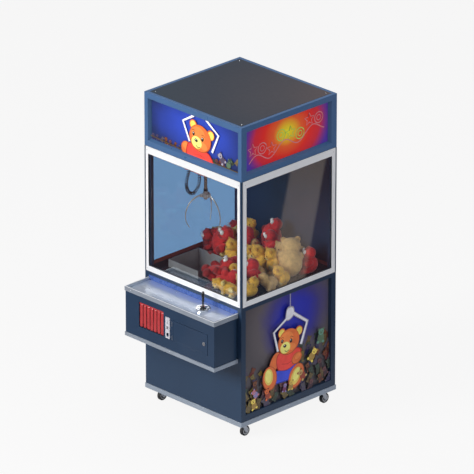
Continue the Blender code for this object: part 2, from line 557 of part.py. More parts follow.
def claw(chrome):
    here = (CLAW_X, CLAW_Y, 0.0)
    body = [(0.0, 1.270), (0.0060, 1.270), (0.0130, 1.2780), (0.0185, 1.2840), (0.0185, 1.3080),
            (0.0130, 1.3120), (0.0130, 1.3205), (0.0064, 1.3205), (0.0064, 1.3010), (0.0, 1.3010)]
    hub = place("claw_hub", turned(body, 24, here), chrome, here, smooth=35)
    for degrees in FINGER_TURNS:
        about = Matrix.Translation(here) @ Matrix.Rotation(math.radians(degrees), 4, "Z")
        for side in (-1, 1):
            y0, y1 = sorted((side * 0.0032, side * 0.0058))
            ear = box(0.012, 0.0335, y0, y1, PIVOT_Z - 0.0080, PIVOT_Z + 0.0080)
            bmesh.ops.transform(ear, matrix=about, verts=ear.verts)
            weld(hub, ear)
        bore = [(0.0, -0.02), (0.0026, -0.02), (0.0026, 0.02), (0.0, 0.02)]
        hole = turned(bore, 12, (PIVOT_R, 0.0, PIVOT_Z), "y")
        slot = box(0.0150, 0.05, -0.0032, 0.0032, PIVOT_Z - 0.020, PIVOT_Z + 0.020)
        for tool in (hole, slot):
            bmesh.ops.transform(tool, matrix=about, verts=tool.verts)
            cut(hub, tool)

    for number, degrees in enumerate(FINGER_TURNS, 1):
        about = Matrix.Translation(here) @ Matrix.Rotation(math.radians(degrees), 4, "Z")
        sections = []
        steps = 12
        for i in range(steps + 1):
            t = i / steps
            at = bezier(FINGER_CURVE, t)
            ahead = bezier(FINGER_CURVE, min(1.0, t + 0.01)) - bezier(FINGER_CURVE, max(0.0, t - 0.01))
            across = Vector((-ahead[1], ahead[0])).normalized()
            thick = 0.0042 - 0.0022 * t
            wide = 0.0027 + 0.0013 * math.sin(math.pi * min(1.0, 1.4 * t)) - 0.0005 * t
            flank = 0.6 * wide
            outline = [(thick, -flank), (thick, flank), (0.5 * thick, wide), (-0.5 * thick, wide),
                       (-thick, flank), (-thick, -flank), (-0.5 * thick, -wide), (0.5 * thick, -wide)]
            if i < 2:
                outline = [(u, max(-0.0027, min(0.0027, v))) for u, v in outline]
            ring = [Vector((at[0] + u * across[0], v, at[1] + u * across[1])) for u, v in outline]
            sections.append([about @ point for point in ring])
        pivot = about @ Vector((PIVOT_R, 0.0, PIVOT_Z))
        finger = place("claw_finger_%d" % number, swept(sections), chrome, pivot, smooth=35)
        pin = turned([(0.0, -0.0066), (0.0022, -0.0066), (0.0022, 0.0066), (0.0, 0.0066)], 12,
                     (PIVOT_R, 0.0, PIVOT_Z), "y")
        boss = turned([(0.0, -0.0026), (0.0050, -0.0026), (0.0050, 0.0026), (0.0, 0.0026)], 16,
                      (PIVOT_R, 0.0, PIVOT_Z), "y")
        for piece in (boss, pin):
            bmesh.ops.transform(piece, matrix=about, verts=piece.verts)
            weld(finger, piece)


# ---------------------------------------------------------------- trolley cord
CORD_R = 0.0105
CORD_ROUTE = [(-0.160, -0.243, 1.5557), (-0.160, -0.2455, 1.505), (-0.160, -0.268, 1.445),
              (-0.160, -0.277, 1.405), (-0.161, -0.262, 1.355), (-0.162, -0.223, 1.330),
              (-0.163, -0.184, 1.352), (-0.163, -0.171, 1.400), (-0.163, -0.170, CARRIAGE_LOW - GAP)]


def smooth_route(points, count):
    """Points evenly spaced along a Catmull-Rom curve through the route."""
    knots = [Vector(p) for p in points]
    knots = [2 * knots[0] - knots[1]] + knots + [2 * knots[-1] - knots[-2]]
    dense = []
    for a, b, c, d in zip(knots, knots[1:], knots[2:], knots[3:]):
        for i in range(20):
            t = i / 20
            dense.append(0.5 * (2 * b + (c - a) * t + (2 * a - 5 * b + 4 * c - d) * t * t
                                + (3 * b - a - 3 * c + d) * t ** 3))
    dense.append(knots[-2])
    reach = [0.0]
    for near, far in zip(dense, dense[1:]):
        reach.append(reach[-1] + (far - near).length)
    route = []
    k = 0
    for i in range(count):
        goal = reach[-1] * i / (count - 1)
        while k < len(reach) - 2 and reach[k + 1] < goal:
            k += 1
        part = (goal - reach[k]) / (reach[k + 1] - reach[k])
        route.append(dense[k].lerp(dense[k + 1], part))
    return route


def trolley_cord(black):
    """The curly lead from the bridge's arm to the trolley: one fat tube of its outer diameter."""
    curve = bpy.data.curves.new("trolley_cord", "CURVE")
    curve.dimensions = "3D"
    curve.bevel_depth = CORD_R
    curve.bevel_resolution = 3
    curve.use_fill_caps = True
    route = smooth_route(CORD_ROUTE, 24)
    line = curve.splines.new("POLY")
    line.points.add(len(route) - 1)
    for point, at in zip(line.points, route):
        point.co = (*at, 1.0)
    curve.materials.append(black)
    cord = bpy.data.objects.new("trolley_cord", curve)
    cord.location = (0.0, CABINET_Y, 0.0)
    bpy.context.scene.collection.objects.link(cord)


# ---------------------------------------------------------------- plush prizes
def ball(x, y, z, rx, ry, rz):
    """An egg-shaped body of a soft toy."""
    bm = bmesh.new()
    shape = Matrix.Translation((x, y, z)) @ Matrix.Diagonal((rx, ry, rz, 1.0))
    bmesh.ops.create_uvsphere(bm, u_segments=10, v_segments=6, radius=1.0, matrix=shape)
    return bm


# The prizes, each drawn as egg-shaped bodies: centre x, y, z, then half width, depth and height.
HEAPS = {
    "plush_heap_left": [
        (-0.300, 0.062, 0.895, 0.050, 0.052, 0.054), (-0.300, 0.030, 0.965, 0.036, 0.036, 0.036),
        (-0.205, 0.062, 0.925, 0.070, 0.068, 0.084), (-0.165, 0.050, 0.995, 0.042, 0.042, 0.040),
        (-0.105, 0.040, 0.905, 0.055, 0.055, 0.064), (-0.085, 0.012, 0.955, 0.036, 0.036, 0.036),
        (-0.220, 0.150, 0.890, 0.060, 0.060, 0.049), (-0.190, 0.225, 0.925, 0.060, 0.060, 0.084),
        (-0.172, 0.247, 1.000, 0.030, 0.030, 0.030), (-0.115, 0.155, 0.915, 0.060, 0.060, 0.074),
        (-0.118, 0.172, 0.985, 0.038, 0.038, 0.036)],
    "plush_heap_front": [
        (0.045, -0.215, 0.888, 0.095, 0.055, 0.047), (0.072, -0.166, 0.945, 0.042, 0.042, 0.042),
        (0.215, -0.312, 0.877, 0.090, 0.040, 0.036), (0.130, -0.255, 0.880, 0.080, 0.050, 0.039),
        (0.235, -0.125, 0.900, 0.055, 0.055, 0.059), (0.205, -0.105, 0.965, 0.040, 0.040, 0.038),
        (0.318, -0.235, 0.873, 0.040, 0.055, 0.032), (0.260, -0.200, 0.885, 0.060, 0.060, 0.044),
        (0.312, -0.062, 0.876, 0.048, 0.055, 0.035), (0.140, -0.150, 0.888, 0.070, 0.060, 0.047),
        (0.080, -0.060, 0.885, 0.060, 0.050, 0.044), (0.280, -0.120, 0.880, 0.050, 0.060, 0.039),
        (0.100, -0.105, 0.885, 0.060, 0.050, 0.044)],
    "plush_heap_back": [
        (-0.020, 0.275, 0.945, 0.065, 0.062, 0.104), (0.006, 0.290, 1.040, 0.034, 0.034, 0.036),
        (0.062, 0.205, 0.930, 0.055, 0.055, 0.089), (0.020, 0.120, 0.889, 0.058, 0.058, 0.048),
        (0.105, 0.068, 0.915, 0.058, 0.058, 0.074), (0.100, 0.036, 0.975, 0.040, 0.040, 0.040),
        (0.190, 0.090, 0.910, 0.055, 0.055, 0.069), (0.185, 0.062, 0.975, 0.038, 0.038, 0.038),
        (0.265, 0.122, 0.935, 0.088, 0.085, 0.094), (0.245, 0.165, 1.020, 0.055, 0.055, 0.050),
        (0.160, 0.200, 0.900, 0.070, 0.070, 0.059), (0.313, 0.235, 0.895, 0.045, 0.050, 0.054),
        (0.316, 0.255, 0.965, 0.038, 0.038, 0.037), (0.235, 0.275, 0.885, 0.065, 0.055, 0.044),
        (0.080, 0.285, 0.890, 0.065, 0.050, 0.049)],
}


def plush(red, tan):
    for name, bodies in HEAPS.items():
        heap = place(name, ball(*bodies[0]), red if name == "plush_heap_left" else tan)
        weld(heap, *[ball(*body) for body in bodies[1:]])


def main():
    for thing in list(bpy.data.objects):
        bpy.data.objects.remove(thing, do_unlink=True)
    navy = material("navy_paint", (0.030, 0.060, 0.125), 0.35)
    aluminium = material("aluminium_trim", (0.80, 0.82, 0.86), 0.30, 1.0)
    brushed = material("brushed_deck", (0.70, 0.74, 0.82), 0.28, 1.0)
    chrome = material("chrome", (0.86, 0.87, 0.88), 0.10, 1.0)
    steel = material("zinc_steel", (0.62, 0.63, 0.65), 0.35, 1.0)
    black = material("black_plastic", (0.02, 0.02, 0.022), 0.45)
    dark_metal = material("playfield_black", (0.015, 0.025, 0.030), 0.30)
    sheet = material("chute_grey", (0.36, 0.38, 0.39), 0.50)
    glass = material("clear_glass", (0.90, 0.94, 0.96), 0.03, 0.0, 0.15)
    tinted = material("blue_glass", (0.16, 0.33, 0.54), 0.05, 0.0, 0.60)
    printed = material("printed_panel", (0.12, 0.12, 0.45), 0.35)
    lamp = material("lamp_white", (0.95, 0.95, 0.92), 0.40)
    dark_red = material("trolley_red", (0.25, 0.02, 0.02), 0.40)
    vinyl = material("red_vinyl", (0.55, 0.06, 0.06), 0.40)
    red_plush = material("red_plush", (0.55, 0.04, 0.04), 0.90)
    tan_plush = material("tan_plush", (0.55, 0.38, 0.12), 0.90)

    base(navy, aluminium)
    castors(steel, black)
    lower_cabinet(navy, printed)
    playfield(dark_metal)
    prize_chute(sheet)
    upper_frame(navy)
    windows(aluminium, glass, tinted)
    back_door(navy)
    marquee(navy, printed, lamp)
    control_box(navy, aluminium, brushed)
    prize_curtain(vinyl)
    coin_parts(steel, navy, vinyl)
    joystick(chrome, black, vinyl)
    gantry(aluminium, dark_red, steel)
    telescope(chrome)
    claw(chrome)
    trolley_cord(black)
    plush(red_plush, tan_plush)


main()
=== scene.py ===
import math
import random
from itertools import product

import bmesh
import bpy
import numpy as np
from mathutils import Matrix, Vector, noise


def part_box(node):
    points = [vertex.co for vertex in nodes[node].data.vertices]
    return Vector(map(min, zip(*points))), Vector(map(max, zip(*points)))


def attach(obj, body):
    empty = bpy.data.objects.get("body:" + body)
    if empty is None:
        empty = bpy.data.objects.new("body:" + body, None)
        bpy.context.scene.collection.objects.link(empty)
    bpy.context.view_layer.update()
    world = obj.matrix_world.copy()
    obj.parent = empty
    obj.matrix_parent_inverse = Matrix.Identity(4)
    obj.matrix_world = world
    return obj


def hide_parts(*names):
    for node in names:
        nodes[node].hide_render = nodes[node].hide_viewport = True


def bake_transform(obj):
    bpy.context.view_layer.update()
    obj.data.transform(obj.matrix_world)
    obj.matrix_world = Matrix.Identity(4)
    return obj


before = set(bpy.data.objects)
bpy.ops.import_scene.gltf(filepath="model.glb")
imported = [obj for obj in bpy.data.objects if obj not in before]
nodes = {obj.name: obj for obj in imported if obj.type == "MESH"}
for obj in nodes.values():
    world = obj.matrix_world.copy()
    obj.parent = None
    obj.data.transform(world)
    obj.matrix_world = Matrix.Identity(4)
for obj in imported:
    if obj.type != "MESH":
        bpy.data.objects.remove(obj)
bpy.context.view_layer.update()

# ---------------------------------------------------------------- studio and viewpoint
# A pale floor that runs out of sight, a large soft light high at the front left, a weaker one at the
# right, and a dim room round them. Nothing here is part of the machine.
cabinet_low, cabinet_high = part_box("lower_cabinet")
mid_y = (cabinet_low.y + cabinet_high.y) / 2


def placed(name, data):
    """An object of its own, put in the scene."""
    made = bpy.data.objects.new(name, data)
    bpy.context.scene.collection.objects.link(made)
    return made


lens = bpy.data.cameras.new("camera")
lens.sensor_width = 36.0
lens.lens = 491.6
lens.clip_start, lens.clip_end = 1.0, 300.0
camera = placed("camera", lens)
camera.location = (24.378, -23.923 + mid_y, 15.655)
camera.rotation_euler = (math.radians(90.0 - 23.164), 0.0, math.radians(45.574))
bpy.context.scene.camera = camera
bpy.context.scene.view_settings.view_transform = "Standard"


def fill(shader_node, values):
    """Sets input values of a shader node, by name or by number."""
    for socket, value in values.items():
        shader_node.inputs[socket].default_value = value
    return shader_node


def node(net, kind, values=None, **traits):
    """Adds a shader node with its properties and its input values."""
    made = net.nodes.new("ShaderNode" + kind)
    for trait, value in traits.items():
        setattr(made, trait, value)
    return fill(made, values or {})


def wire(net, *links):
    """Joins nodes: each link is a node and its output, then a node and its input."""
    for source, output, target, socket in links:
        net.links.new(source.outputs[output], target.inputs[socket])


def colour_ramp(net, stops):
    """A ramp through stops of (position, colour)."""
    ramp = node(net, "ValToRGB")
    elements = ramp.color_ramp.elements
    elements.remove(elements[1])
    elements[0].position, elements[0].color = stops[0][0], (*stops[0][1], 1.0)
    for position, colour in stops[1:]:
        elements.new(position).color = (*colour, 1.0)
    return ramp


room = bpy.data.worlds.new("room")
bpy.context.scene.world = room
room.use_nodes = True
air = room.node_tree
backdrop = fill(air.nodes["Background"], {"Color": (0.945, 0.945, 0.945, 1.0)})
dim_room = node(air, "Background")
heights = colour_ramp(air, [(0.42, (0.3, 0.33, 0.38)), (0.52, (0.42, 0.46, 0.54)),
                            (0.6, (0.2, 0.2, 0.22)), (0.75, (0.3, 0.32, 0.36))])
direction, split = node(air, "TexCoord"), node(air, "SeparateXYZ")
half = node(air, "Math", {1: 0.5, 2: 0.5}, operation="MULTIPLY_ADD")
paths, choose = node(air, "LightPath"), node(air, "MixShader")
wire(air, (direction, "Generated", split, 0), (split, "Z", half, 0), (half, 0, heights, 0),
     (heights, 0, dim_room, "Color"), (paths, "Is Camera Ray", choose, 0), (dim_room, 0, choose, 1),
     (backdrop, 0, choose, 2), (choose, 0, air.nodes["World Output"], "Surface"))

floor_mesh = bpy.data.meshes.new("floor")
reach = 60.0
floor_mesh.from_pydata([(-reach, -reach, 0), (reach, -reach, 0), (reach, reach, 0), (-reach, reach, 0)], [],
                       [(0, 1, 2, 3)])
placed("floor", floor_mesh)
floor_paint = bpy.data.materials.new("floor_paint")
floor_paint.use_nodes = True
tree = floor_paint.node_tree
matt = fill(tree.nodes["Principled BSDF"],
            {"Roughness": 0.9, "Specular IOR Level": 0.0, "Base Color": (0.62, 0.62, 0.63, 1.0)})
glow = node(tree, "Emission", {"Color": (0.975, 0.972, 0.97, 1.0)})
# the glow that glossy rays see in place of the floor: a painted reflection
painted_reflection_glow = node(tree, "Emission")
paths, pale = node(tree, "LightPath"), node(tree, "MixShader", {0: 0.92})
seen, mirrored = node(tree, "MixShader"), node(tree, "MixShader")
wire(tree, (matt, 0, pale, 1), (glow, 0, pale, 2), (paths, "Is Camera Ray", seen, 0),
     (paths, "Is Glossy Ray", mirrored, 0), (matt, 0, mirrored, 1), (painted_reflection_glow, 0, mirrored, 2),
     (mirrored, 0, seen, 1), (pale, 0, seen, 2), (seen, 0, tree.nodes["Material Output"], "Surface"))
# painted reflection, seen by glossy rays only: what polished pieces mirror of the floor is a made-up glow,
# grey close by, darker further out but for one slanted lighter strip
spot = node(tree, "TexCoord")
turned = node(tree, "Mapping", {"Rotation": (0.0, 0.0, math.radians(-41.0))}, vector_type="TEXTURE")
strip = node(tree, "SeparateXYZ")
shades = colour_ramp(tree, [(0.0, (0.06, 0.035, 0.045)), (0.276, (0.06, 0.035, 0.045)),
                            (0.286, (0.3, 0.235, 0.2)), (0.484, (0.28, 0.225, 0.2)),
                            (0.494, (0.045, 0.05, 0.07))])
from_middle = node(tree, "VectorMath", operation="LENGTH")
nearness = node(tree, "MapRange", {"From Min": 0.9, "From Max": 1.9, "To Min": 1.0, "To Max": 0.0})
painted_reflection_colour = node(tree, "Mix", {"B": (0.34, 0.36, 0.4, 1.0)}, data_type="RGBA")
wire(tree, (spot, "Object", turned, "Vector"), (turned, 0, strip, 0), (strip, "X", shades, 0),
     (spot, "Object", from_middle, 0), (from_middle, "Value", nearness, "Value"),
     (nearness, 0, painted_reflection_colour, "Factor"), (shades, 0, painted_reflection_colour, "A"), (painted_reflection_colour, "Result", painted_reflection_glow, "Color"))
floor_mesh.materials.append(floor_paint)


def soft_light(name, place, aim, size, power, colour):
    """A rectangular studio light turned towards a point."""
    panel = bpy.data.lights.new(name, "AREA")
    panel.shape = "RECTANGLE"
    panel.size, panel.size_y = size
    panel.energy = power
    panel.color = colour
    lamp = placed(name, panel)
    lamp.location = place
    lamp.rotation_euler = (Vector(aim) - Vector(place)).to_track_quat("-Z", "Y").to_euler()


soft_light("key_light", (-2.2, -7.5, 4.6), (0.0, 0.0, 1.0), (3.2, 3.2), 700.0, (1.0, 0.98, 0.95))
soft_light("side_light", (7.0, -0.5, 3.6), (0.0, 0.0, 1.0), (2.6, 2.6), 120.0, (1.0, 0.97, 0.94))
soft_light("sky_light", (0.5, 1.0, 7.5), (0.0, 0.0, 1.0), (3.0, 3.0), 130.0, (0.92, 0.96, 1.0))

# ---------------------------------------------------------------- base, trim and castors
# A painted steel plate in an aluminium angle, on four swivel castors: zinc-plated forks, grey nylon
# hubs and black rubber tyres, each held up by a plate with four bolts.


def finish(name, colour, rough, metal=0.0, drift=0.07, cloud=4.0, polish=0.06, skin=700.0, depth=0.00002,
           stretch=(1.0, 1.0, 1.0), coat=0.0, sheen=0.0):
    """A surface with slow colour drift, uneven polish and a fine skin, fixed to the piece itself."""
    made = bpy.data.materials.new(name)
    made.use_nodes = True
    net = made.node_tree
    shader = fill(net.nodes["Principled BSDF"],
                  {"Metallic": metal, "Coat Weight": coat, "Coat Roughness": 0.06, "Sheen Weight": sheen,
                   "Sheen Roughness": 0.45})
    where, spread = node(net, "TexCoord"), node(net, "Mapping", {"Scale": stretch})
    wire(net, (where, "Object", spread, "Vector"))
    noises = []
    for scale, detail in ((cloud, 3.0), (cloud * 9.0, 4.0), (skin, 2.0)):
        noises.append(node(net, "TexNoise", {"Scale": scale, "Detail": detail}))
        wire(net, (spread, 0, noises[-1], "Vector"))
    shades = colour_ramp(net, [(0.3, [c * (1.0 - drift) for c in colour]),
                               (0.7, [min(1.0, c * (1.0 + drift)) for c in colour])])
    worn = node(net, "MapRange", {"To Min": max(0.02, rough - polish), "To Max": rough + polish})
    fine = node(net, "Bump", {"Strength": 0.5, "Distance": depth})
    wire(net, (noises[0], "Fac", shades, 0), (shades, 0, shader, "Base Color"),
         (noises[1], "Fac", worn, "Value"), (worn, 0, shader, "Roughness"),
         (noises[2], "Fac", fine, "Height"), (fine, 0, shader, "Normal"))
    return made


def dress(look, *names):
    """Gives CAD pieces their finish."""
    for name in names:
        nodes[name].material_slots[0].material = look


def soften(width, *names):
    """Breaks the sharp edges of flat CAD pieces, as folding and deburring do."""
    for name in names:
        joined = nodes[name].modifiers.new("joined", "WELD")
        joined.merge_threshold = 0.00002
        broken = nodes[name].modifiers.new("broken_edges", "BEVEL")
        broken.width = width
        broken.segments = 2
        broken.limit_method = "ANGLE"
        broken.angle_limit = math.radians(40.0)
        broken.harden_normals = True


def at(x, y, z):
    """A point given from the middle of the cabinet."""
    return Vector((x, y + mid_y, z))


def add_piece(name, bm, look, body, smooth=None, *, slot):
    """Makes a piece from a mesh, riding on a body; edges over smooth degrees stay sharp."""
    bmesh.ops.recalc_face_normals(bm, faces=bm.faces)
    mesh = bpy.data.meshes.new(name)
    bm.to_mesh(mesh)
    bm.free()
    if smooth:
        mesh.shade_smooth()
        mesh.set_sharp_from_angle(angle=math.radians(smooth))
    mesh.materials.append(look)
    piece = placed(name, mesh)
    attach(piece, body)
    return piece


def spun(bm, profile, steps, centre, axis="z"):
    """A closed outline of (radius, height) points spun round an axis."""
    degrees, about = {"z": (0, "X"), "-z": (180, "X"), "y": (-90, "X"), "-y": (90, "X"), "x": (90, "Y"),
                      "-x": (-90, "Y")}[axis]
    stand = Matrix.Translation(centre) @ Matrix.Rotation(math.radians(degrees), 4, about)
    rings = []
    for radius, height in profile:
        count = 1 if radius == 0.0 else steps
        turns = [math.tau * i / count for i in range(count)]
        rings.append([bm.verts.new(stand @ Vector((radius * math.cos(a), radius * math.sin(a), height)))
                      for a in turns])
    for lower, upper in zip(rings, rings[1:]):
        for i in range(steps):
            corners = [lower[i % len(lower)], lower[(i + 1) % len(lower)],
                       upper[(i + 1) % len(upper)], upper[i % len(upper)]]
            corners = list(dict.fromkeys(corners))
            if len(corners) > 2:
                bm.faces.new(corners)
    return bm


def slab(bm, low, high):
    """A rectangular block between two corners."""
    size = Matrix.Diagonal((*(Vector(high) - Vector(low)), 1.0))
    bmesh.ops.create_cube(bm, size=1.0, matrix=Matrix.Translation((Vector(low) + Vector(high)) / 2) @ size)
    return bm


def screw_head(bm, centre, axis, radius):
    """A domed screw head standing on a face."""
    rise = radius * 0.5
    spun(bm, [(radius, -0.0002), (radius * 0.94, rise * 0.35), (radius * 0.6, rise * 0.8),
              (radius * 0.28, rise), (radius * 0.22, rise * 0.45), (0.0, rise * 0.45)], 12, centre, axis)


def add_screws(name, heads, body="cabinet", slot="zinc_steel"):
    """A set of domed screws, each given by its place, the way it faces and its radius."""
    bm = bmesh.new()
    for centre, facing, radius in heads:
        screw_head(bm, centre, facing, radius)
    add_piece(name, bm, screw_steel, body, smooth=50, slot=slot)


navy = (0.015, 0.038, 0.081)
navy_paint = finish("navy_paint", navy, 0.34, drift=0.05, skin=500.0, coat=0.35)
# one aluminium in two copies: the darker, bluer one on the base, deck and control box trims is painted shade
# and a painted reflection of the blue paint
trim_metal = finish("bright_trim", (0.9, 0.91, 0.92), 0.34, 0.22, 0.03, polish=0.05)
shaded_trim_metal = finish("shaded_trim_aluminium", (0.44, 0.5, 0.58), 0.3, 0.55, 0.06, cloud=9.0, polish=0.06)
zinc = finish("zinc_plate", (0.62, 0.64, 0.67), 0.3, 0.9, 0.1, cloud=30.0, polish=0.1)
tyre_rubber = finish("tyre_rubber", (0.018, 0.018, 0.02), 0.62, drift=0.2, cloud=40.0, depth=0.00006)
grey_nylon = finish("grey_nylon", (0.55, 0.56, 0.58), 0.42, drift=0.05, cloud=40.0)
screw_steel = finish("screw_steel", (0.66, 0.67, 0.7), 0.28, 0.9, 0.08, cloud=60.0)
dress(navy_paint, "base_plate")
dress(shaded_trim_metal, "base_trim")
soften(0.0012, "base_trim")
for corner in ("front_left", "front_right", "rear_left", "rear_right"):
    dress(zinc, "castor_fork_" + corner)
    dress(tyre_rubber, "castor_wheel_" + corner)
    low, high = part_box("castor_wheel_" + corner)
    caps, nuts = bmesh.new(), bmesh.new()
    for facing in ("-x", "x"):
        spun(caps, [(0.0222, 0.009), (0.0218, 0.011), (0.018, 0.0112), (0.015, 0.0102), (0.008, 0.0102),
                    (0.007, 0.012), (0.0045, 0.0124)], 24, (low + high) / 2, facing)
        spun(nuts, [(0.0062, 0.0158), (0.0062, 0.0192), (0.005, 0.0202), (0.0, 0.0202)], 6, (low + high) / 2,
             facing)
    add_piece("castor_hub_" + corner, caps, grey_nylon, "castor_wheel_" + corner, smooth=40,
              slot="castor_tyre")
    add_piece("castor_axle_nuts_" + corner, nuts, screw_steel, "castor_fork_" + corner, slot="zinc_steel")
bolts = bmesh.new()
for x, y, dx, dy in product((-0.342, 0.342), (-0.322, 0.322), (-0.026, 0.026), (-0.026, 0.026)):
    spun(bolts, [(0.0045, 0.0), (0.0045, 0.0028), (0.0036, 0.0034), (0.0, 0.0034)], 6,
         at(x + dx, y + dy, 0.0891), "-z")
add_piece("castor_bolts", bolts, screw_steel, "cabinet", slot="zinc_steel")
heads = []
for side, facing_y, facing_x in ((-1, "-y", "-x"), (1, "y", "x")):
    for step in (-0.3, 0.0, 0.3):
        heads += [(at(step, side * 0.3845, 0.1035), facing_y, 0.0028),
                  (at(side * 0.3985, step, 0.1035), facing_x, 0.0028)]
add_screws("base_trim_screws", heads)

# ---------------------------------------------------------------- lower cabinet and its printed sides
# A box of painted board. Each side has a picture printed on a plastic sheet behind the opening: a teddy
# bear held by a claw over a heap of toys. The rear has a service door with cooling slots.
dress(navy_paint, "lower_cabinet", "rear_service_door")
soften(0.0016, "lower_cabinet", "rear_service_door")


def oval(u, v, ru, rv, lean=0.0, steps=30):
    """The outline of a leaning ellipse."""
    c, s = math.cos(math.radians(lean)), math.sin(math.radians(lean))
    ring = []
    for i in range(steps):
        a = math.tau * i / steps
        x, y = ru * math.cos(a), rv * math.sin(a)
        ring.append((u + x * c - y * s, v + x * s + y * c))
    return ring


def curve_point(a, b, c, d, t):
    """A point between b and c on the smooth curve through all four."""
    bend, twist = 2 * a - 5 * b + 4 * c - d, 3 * b - a - 3 * c + d
    return 0.5 * (2 * b + (c - a) * t + bend * t * t + twist * t ** 3)


def rounded(points):
    """A closed smooth outline through a few points."""
    per = 6
    ring = []
    for k in range(len(points)):
        corners = [Vector(points[(k + i) % len(points)]) for i in (-1, 0, 1, 2)]
        ring += [tuple(curve_point(*corners, i / per)) for i in range(per)]
    return ring


def stroke(points, width):
    """The outline of a brush stroke along a line."""
    left, right = [], []
    for i, p in enumerate(points):
        before, after = Vector(points[max(0, i - 1)]), Vector(points[min(len(points) - 1, i + 1)])
        along = (after - before).normalized()
        across = Vector((-along.y, along.x)) * width / 2
        left.append(tuple(Vector(p) + across))
        right.append(tuple(Vector(p) - across))
    return left + right[::-1]


def drawn(*rows):
    """Flat shapes from rows of a colour, a kind of outline and its millimetres.

    An oval has a centre, two radii and a lean in degrees; a blob has its points; a line has a width first."""
    layers = []
    for colour, kind, *numbers in rows:
        mm = [number / 1000 for number in numbers]
        if kind == "oval":
            layers.append((colour, oval(*mm[:4], *numbers[4:])))
        elif kind == "blob":
            layers.append((colour, rounded(list(zip(mm[::2], mm[1::2])))))
        else:
            layers.append((colour, stroke(list(zip(mm[1::2], mm[2::2])), mm[0])))
    return layers

inks = {}


def ink(colour_name, colour, lit=0.0):
    """A printing ink under a glossy film; a lit sign's ink also glows a little."""
    key = colour_name + ("_lit" if lit else "")
    if key not in inks:
        made = finish("ink_" + key, colour, 0.32, drift=0.1, cloud=22.0, coat=0.4)
        if lit:
            shader = made.node_tree.nodes["Principled BSDF"]
            shader.inputs["Emission Color"].default_value = (*colour, 1.0)
            shader.inputs["Emission Strength"].default_value = lit
        inks[key] = made
    return inks[key]


palette = {
    "fur": (0.78, 0.165, 0.035), "fur_light": (0.9, 0.25, 0.055), "fur_dark": (0.42, 0.075, 0.015),
    "ear": (0.92, 0.7, 0.12), "muzzle": (0.95, 0.86, 0.22), "muzzle_dark": (0.75, 0.52, 0.09),
    "nose": (0.03, 0.018, 0.012), "shirt": (0.88, 0.065, 0.045), "shirt_dark": (0.5, 0.025, 0.02),
    "shorts": (0.04, 0.075, 0.72), "shorts_dark": (0.02, 0.035, 0.34), "steel": (0.8, 0.8, 0.86),
    "steel_dark": (0.36, 0.34, 0.42), "pad": (0.8, 0.62, 0.12), "white": (0.92, 0.92, 0.95),
    "straw": (0.42, 0.26, 0.06), "sand": (0.6, 0.42, 0.14), "moss": (0.1, 0.17, 0.1),
    "plum": (0.16, 0.035, 0.1), "brick": (0.33, 0.06, 0.03), "haze": (0.3, 0.24, 0.48),
    "mint": (0.13, 0.3, 0.22), "rose": (0.62, 0.2, 0.22), "lime": (0.42, 0.6, 0.1),
}

for colour_name, colour in list(palette.items()):
    palette[colour_name + "_dim"] = tuple(0.22 * c + m for c, m in zip(colour, (0.02, 0.015, 0.012)))


def head_drawing(u, v, size, lean):
    """A teddy bear's head in flat inks, seen slightly from one side."""
    c, s = math.cos(math.radians(lean)), math.sin(math.radians(lean))

    def spot(a, b):
        return u + size * (a * c - b * s), v + size * (a * s + b * c)

    def part(colour, a, b, ra, rb):
        return colour, oval(*spot(a, b), ra * size, rb * size, lean)

    smile = [spot(-0.3 + 0.4 * t, -0.62 - 0.1 * math.sin(math.pi * t)) for t in [i / 8 for i in range(9)]]
    return [
        part("fur_dark", -0.8, 0.72, 0.37, 0.37), part("fur", -0.8, 0.73, 0.34, 0.34),
        part("ear", -0.82, 0.72, 0.27, 0.29), part("fur_dark", 0.9, 0.68, 0.38, 0.38),
        part("fur", 0.9, 0.69, 0.35, 0.35), part("ear", 0.93, 0.67, 0.28, 0.31),
        part("fur_dark", 0.0, 0.0, 1.06, 0.98), part("fur", 0.0, 0.02, 1.02, 0.94),
        part("fur_light", -0.22, 0.2, 0.66, 0.58), part("fur_light", 0.42, -0.42, 0.34, 0.26),
        part("muzzle_dark", -0.27, -0.42, 0.5, 0.45), part("muzzle", -0.28, -0.4, 0.47, 0.42),
        part("nose", -0.34, -0.28, 0.16, 0.12), part("white", -0.38, -0.24, 0.05, 0.03),
        ("nose", stroke(smile, 0.045 * size)),
        part("nose", -0.66, 0.1, 0.12, 0.15), part("white", -0.69, 0.15, 0.035, 0.04),
        part("nose", 0.22, 0.04, 0.13, 0.16), part("white", 0.18, 0.1, 0.04, 0.045),
        ("fur_dark", stroke([spot(-0.84, 0.3), spot(-0.68, 0.4), spot(-0.54, 0.34)], 0.05 * size)),
        ("fur_dark", stroke([spot(0.08, 0.3), spot(0.24, 0.38), spot(0.42, 0.28)], 0.05 * size)),
    ]


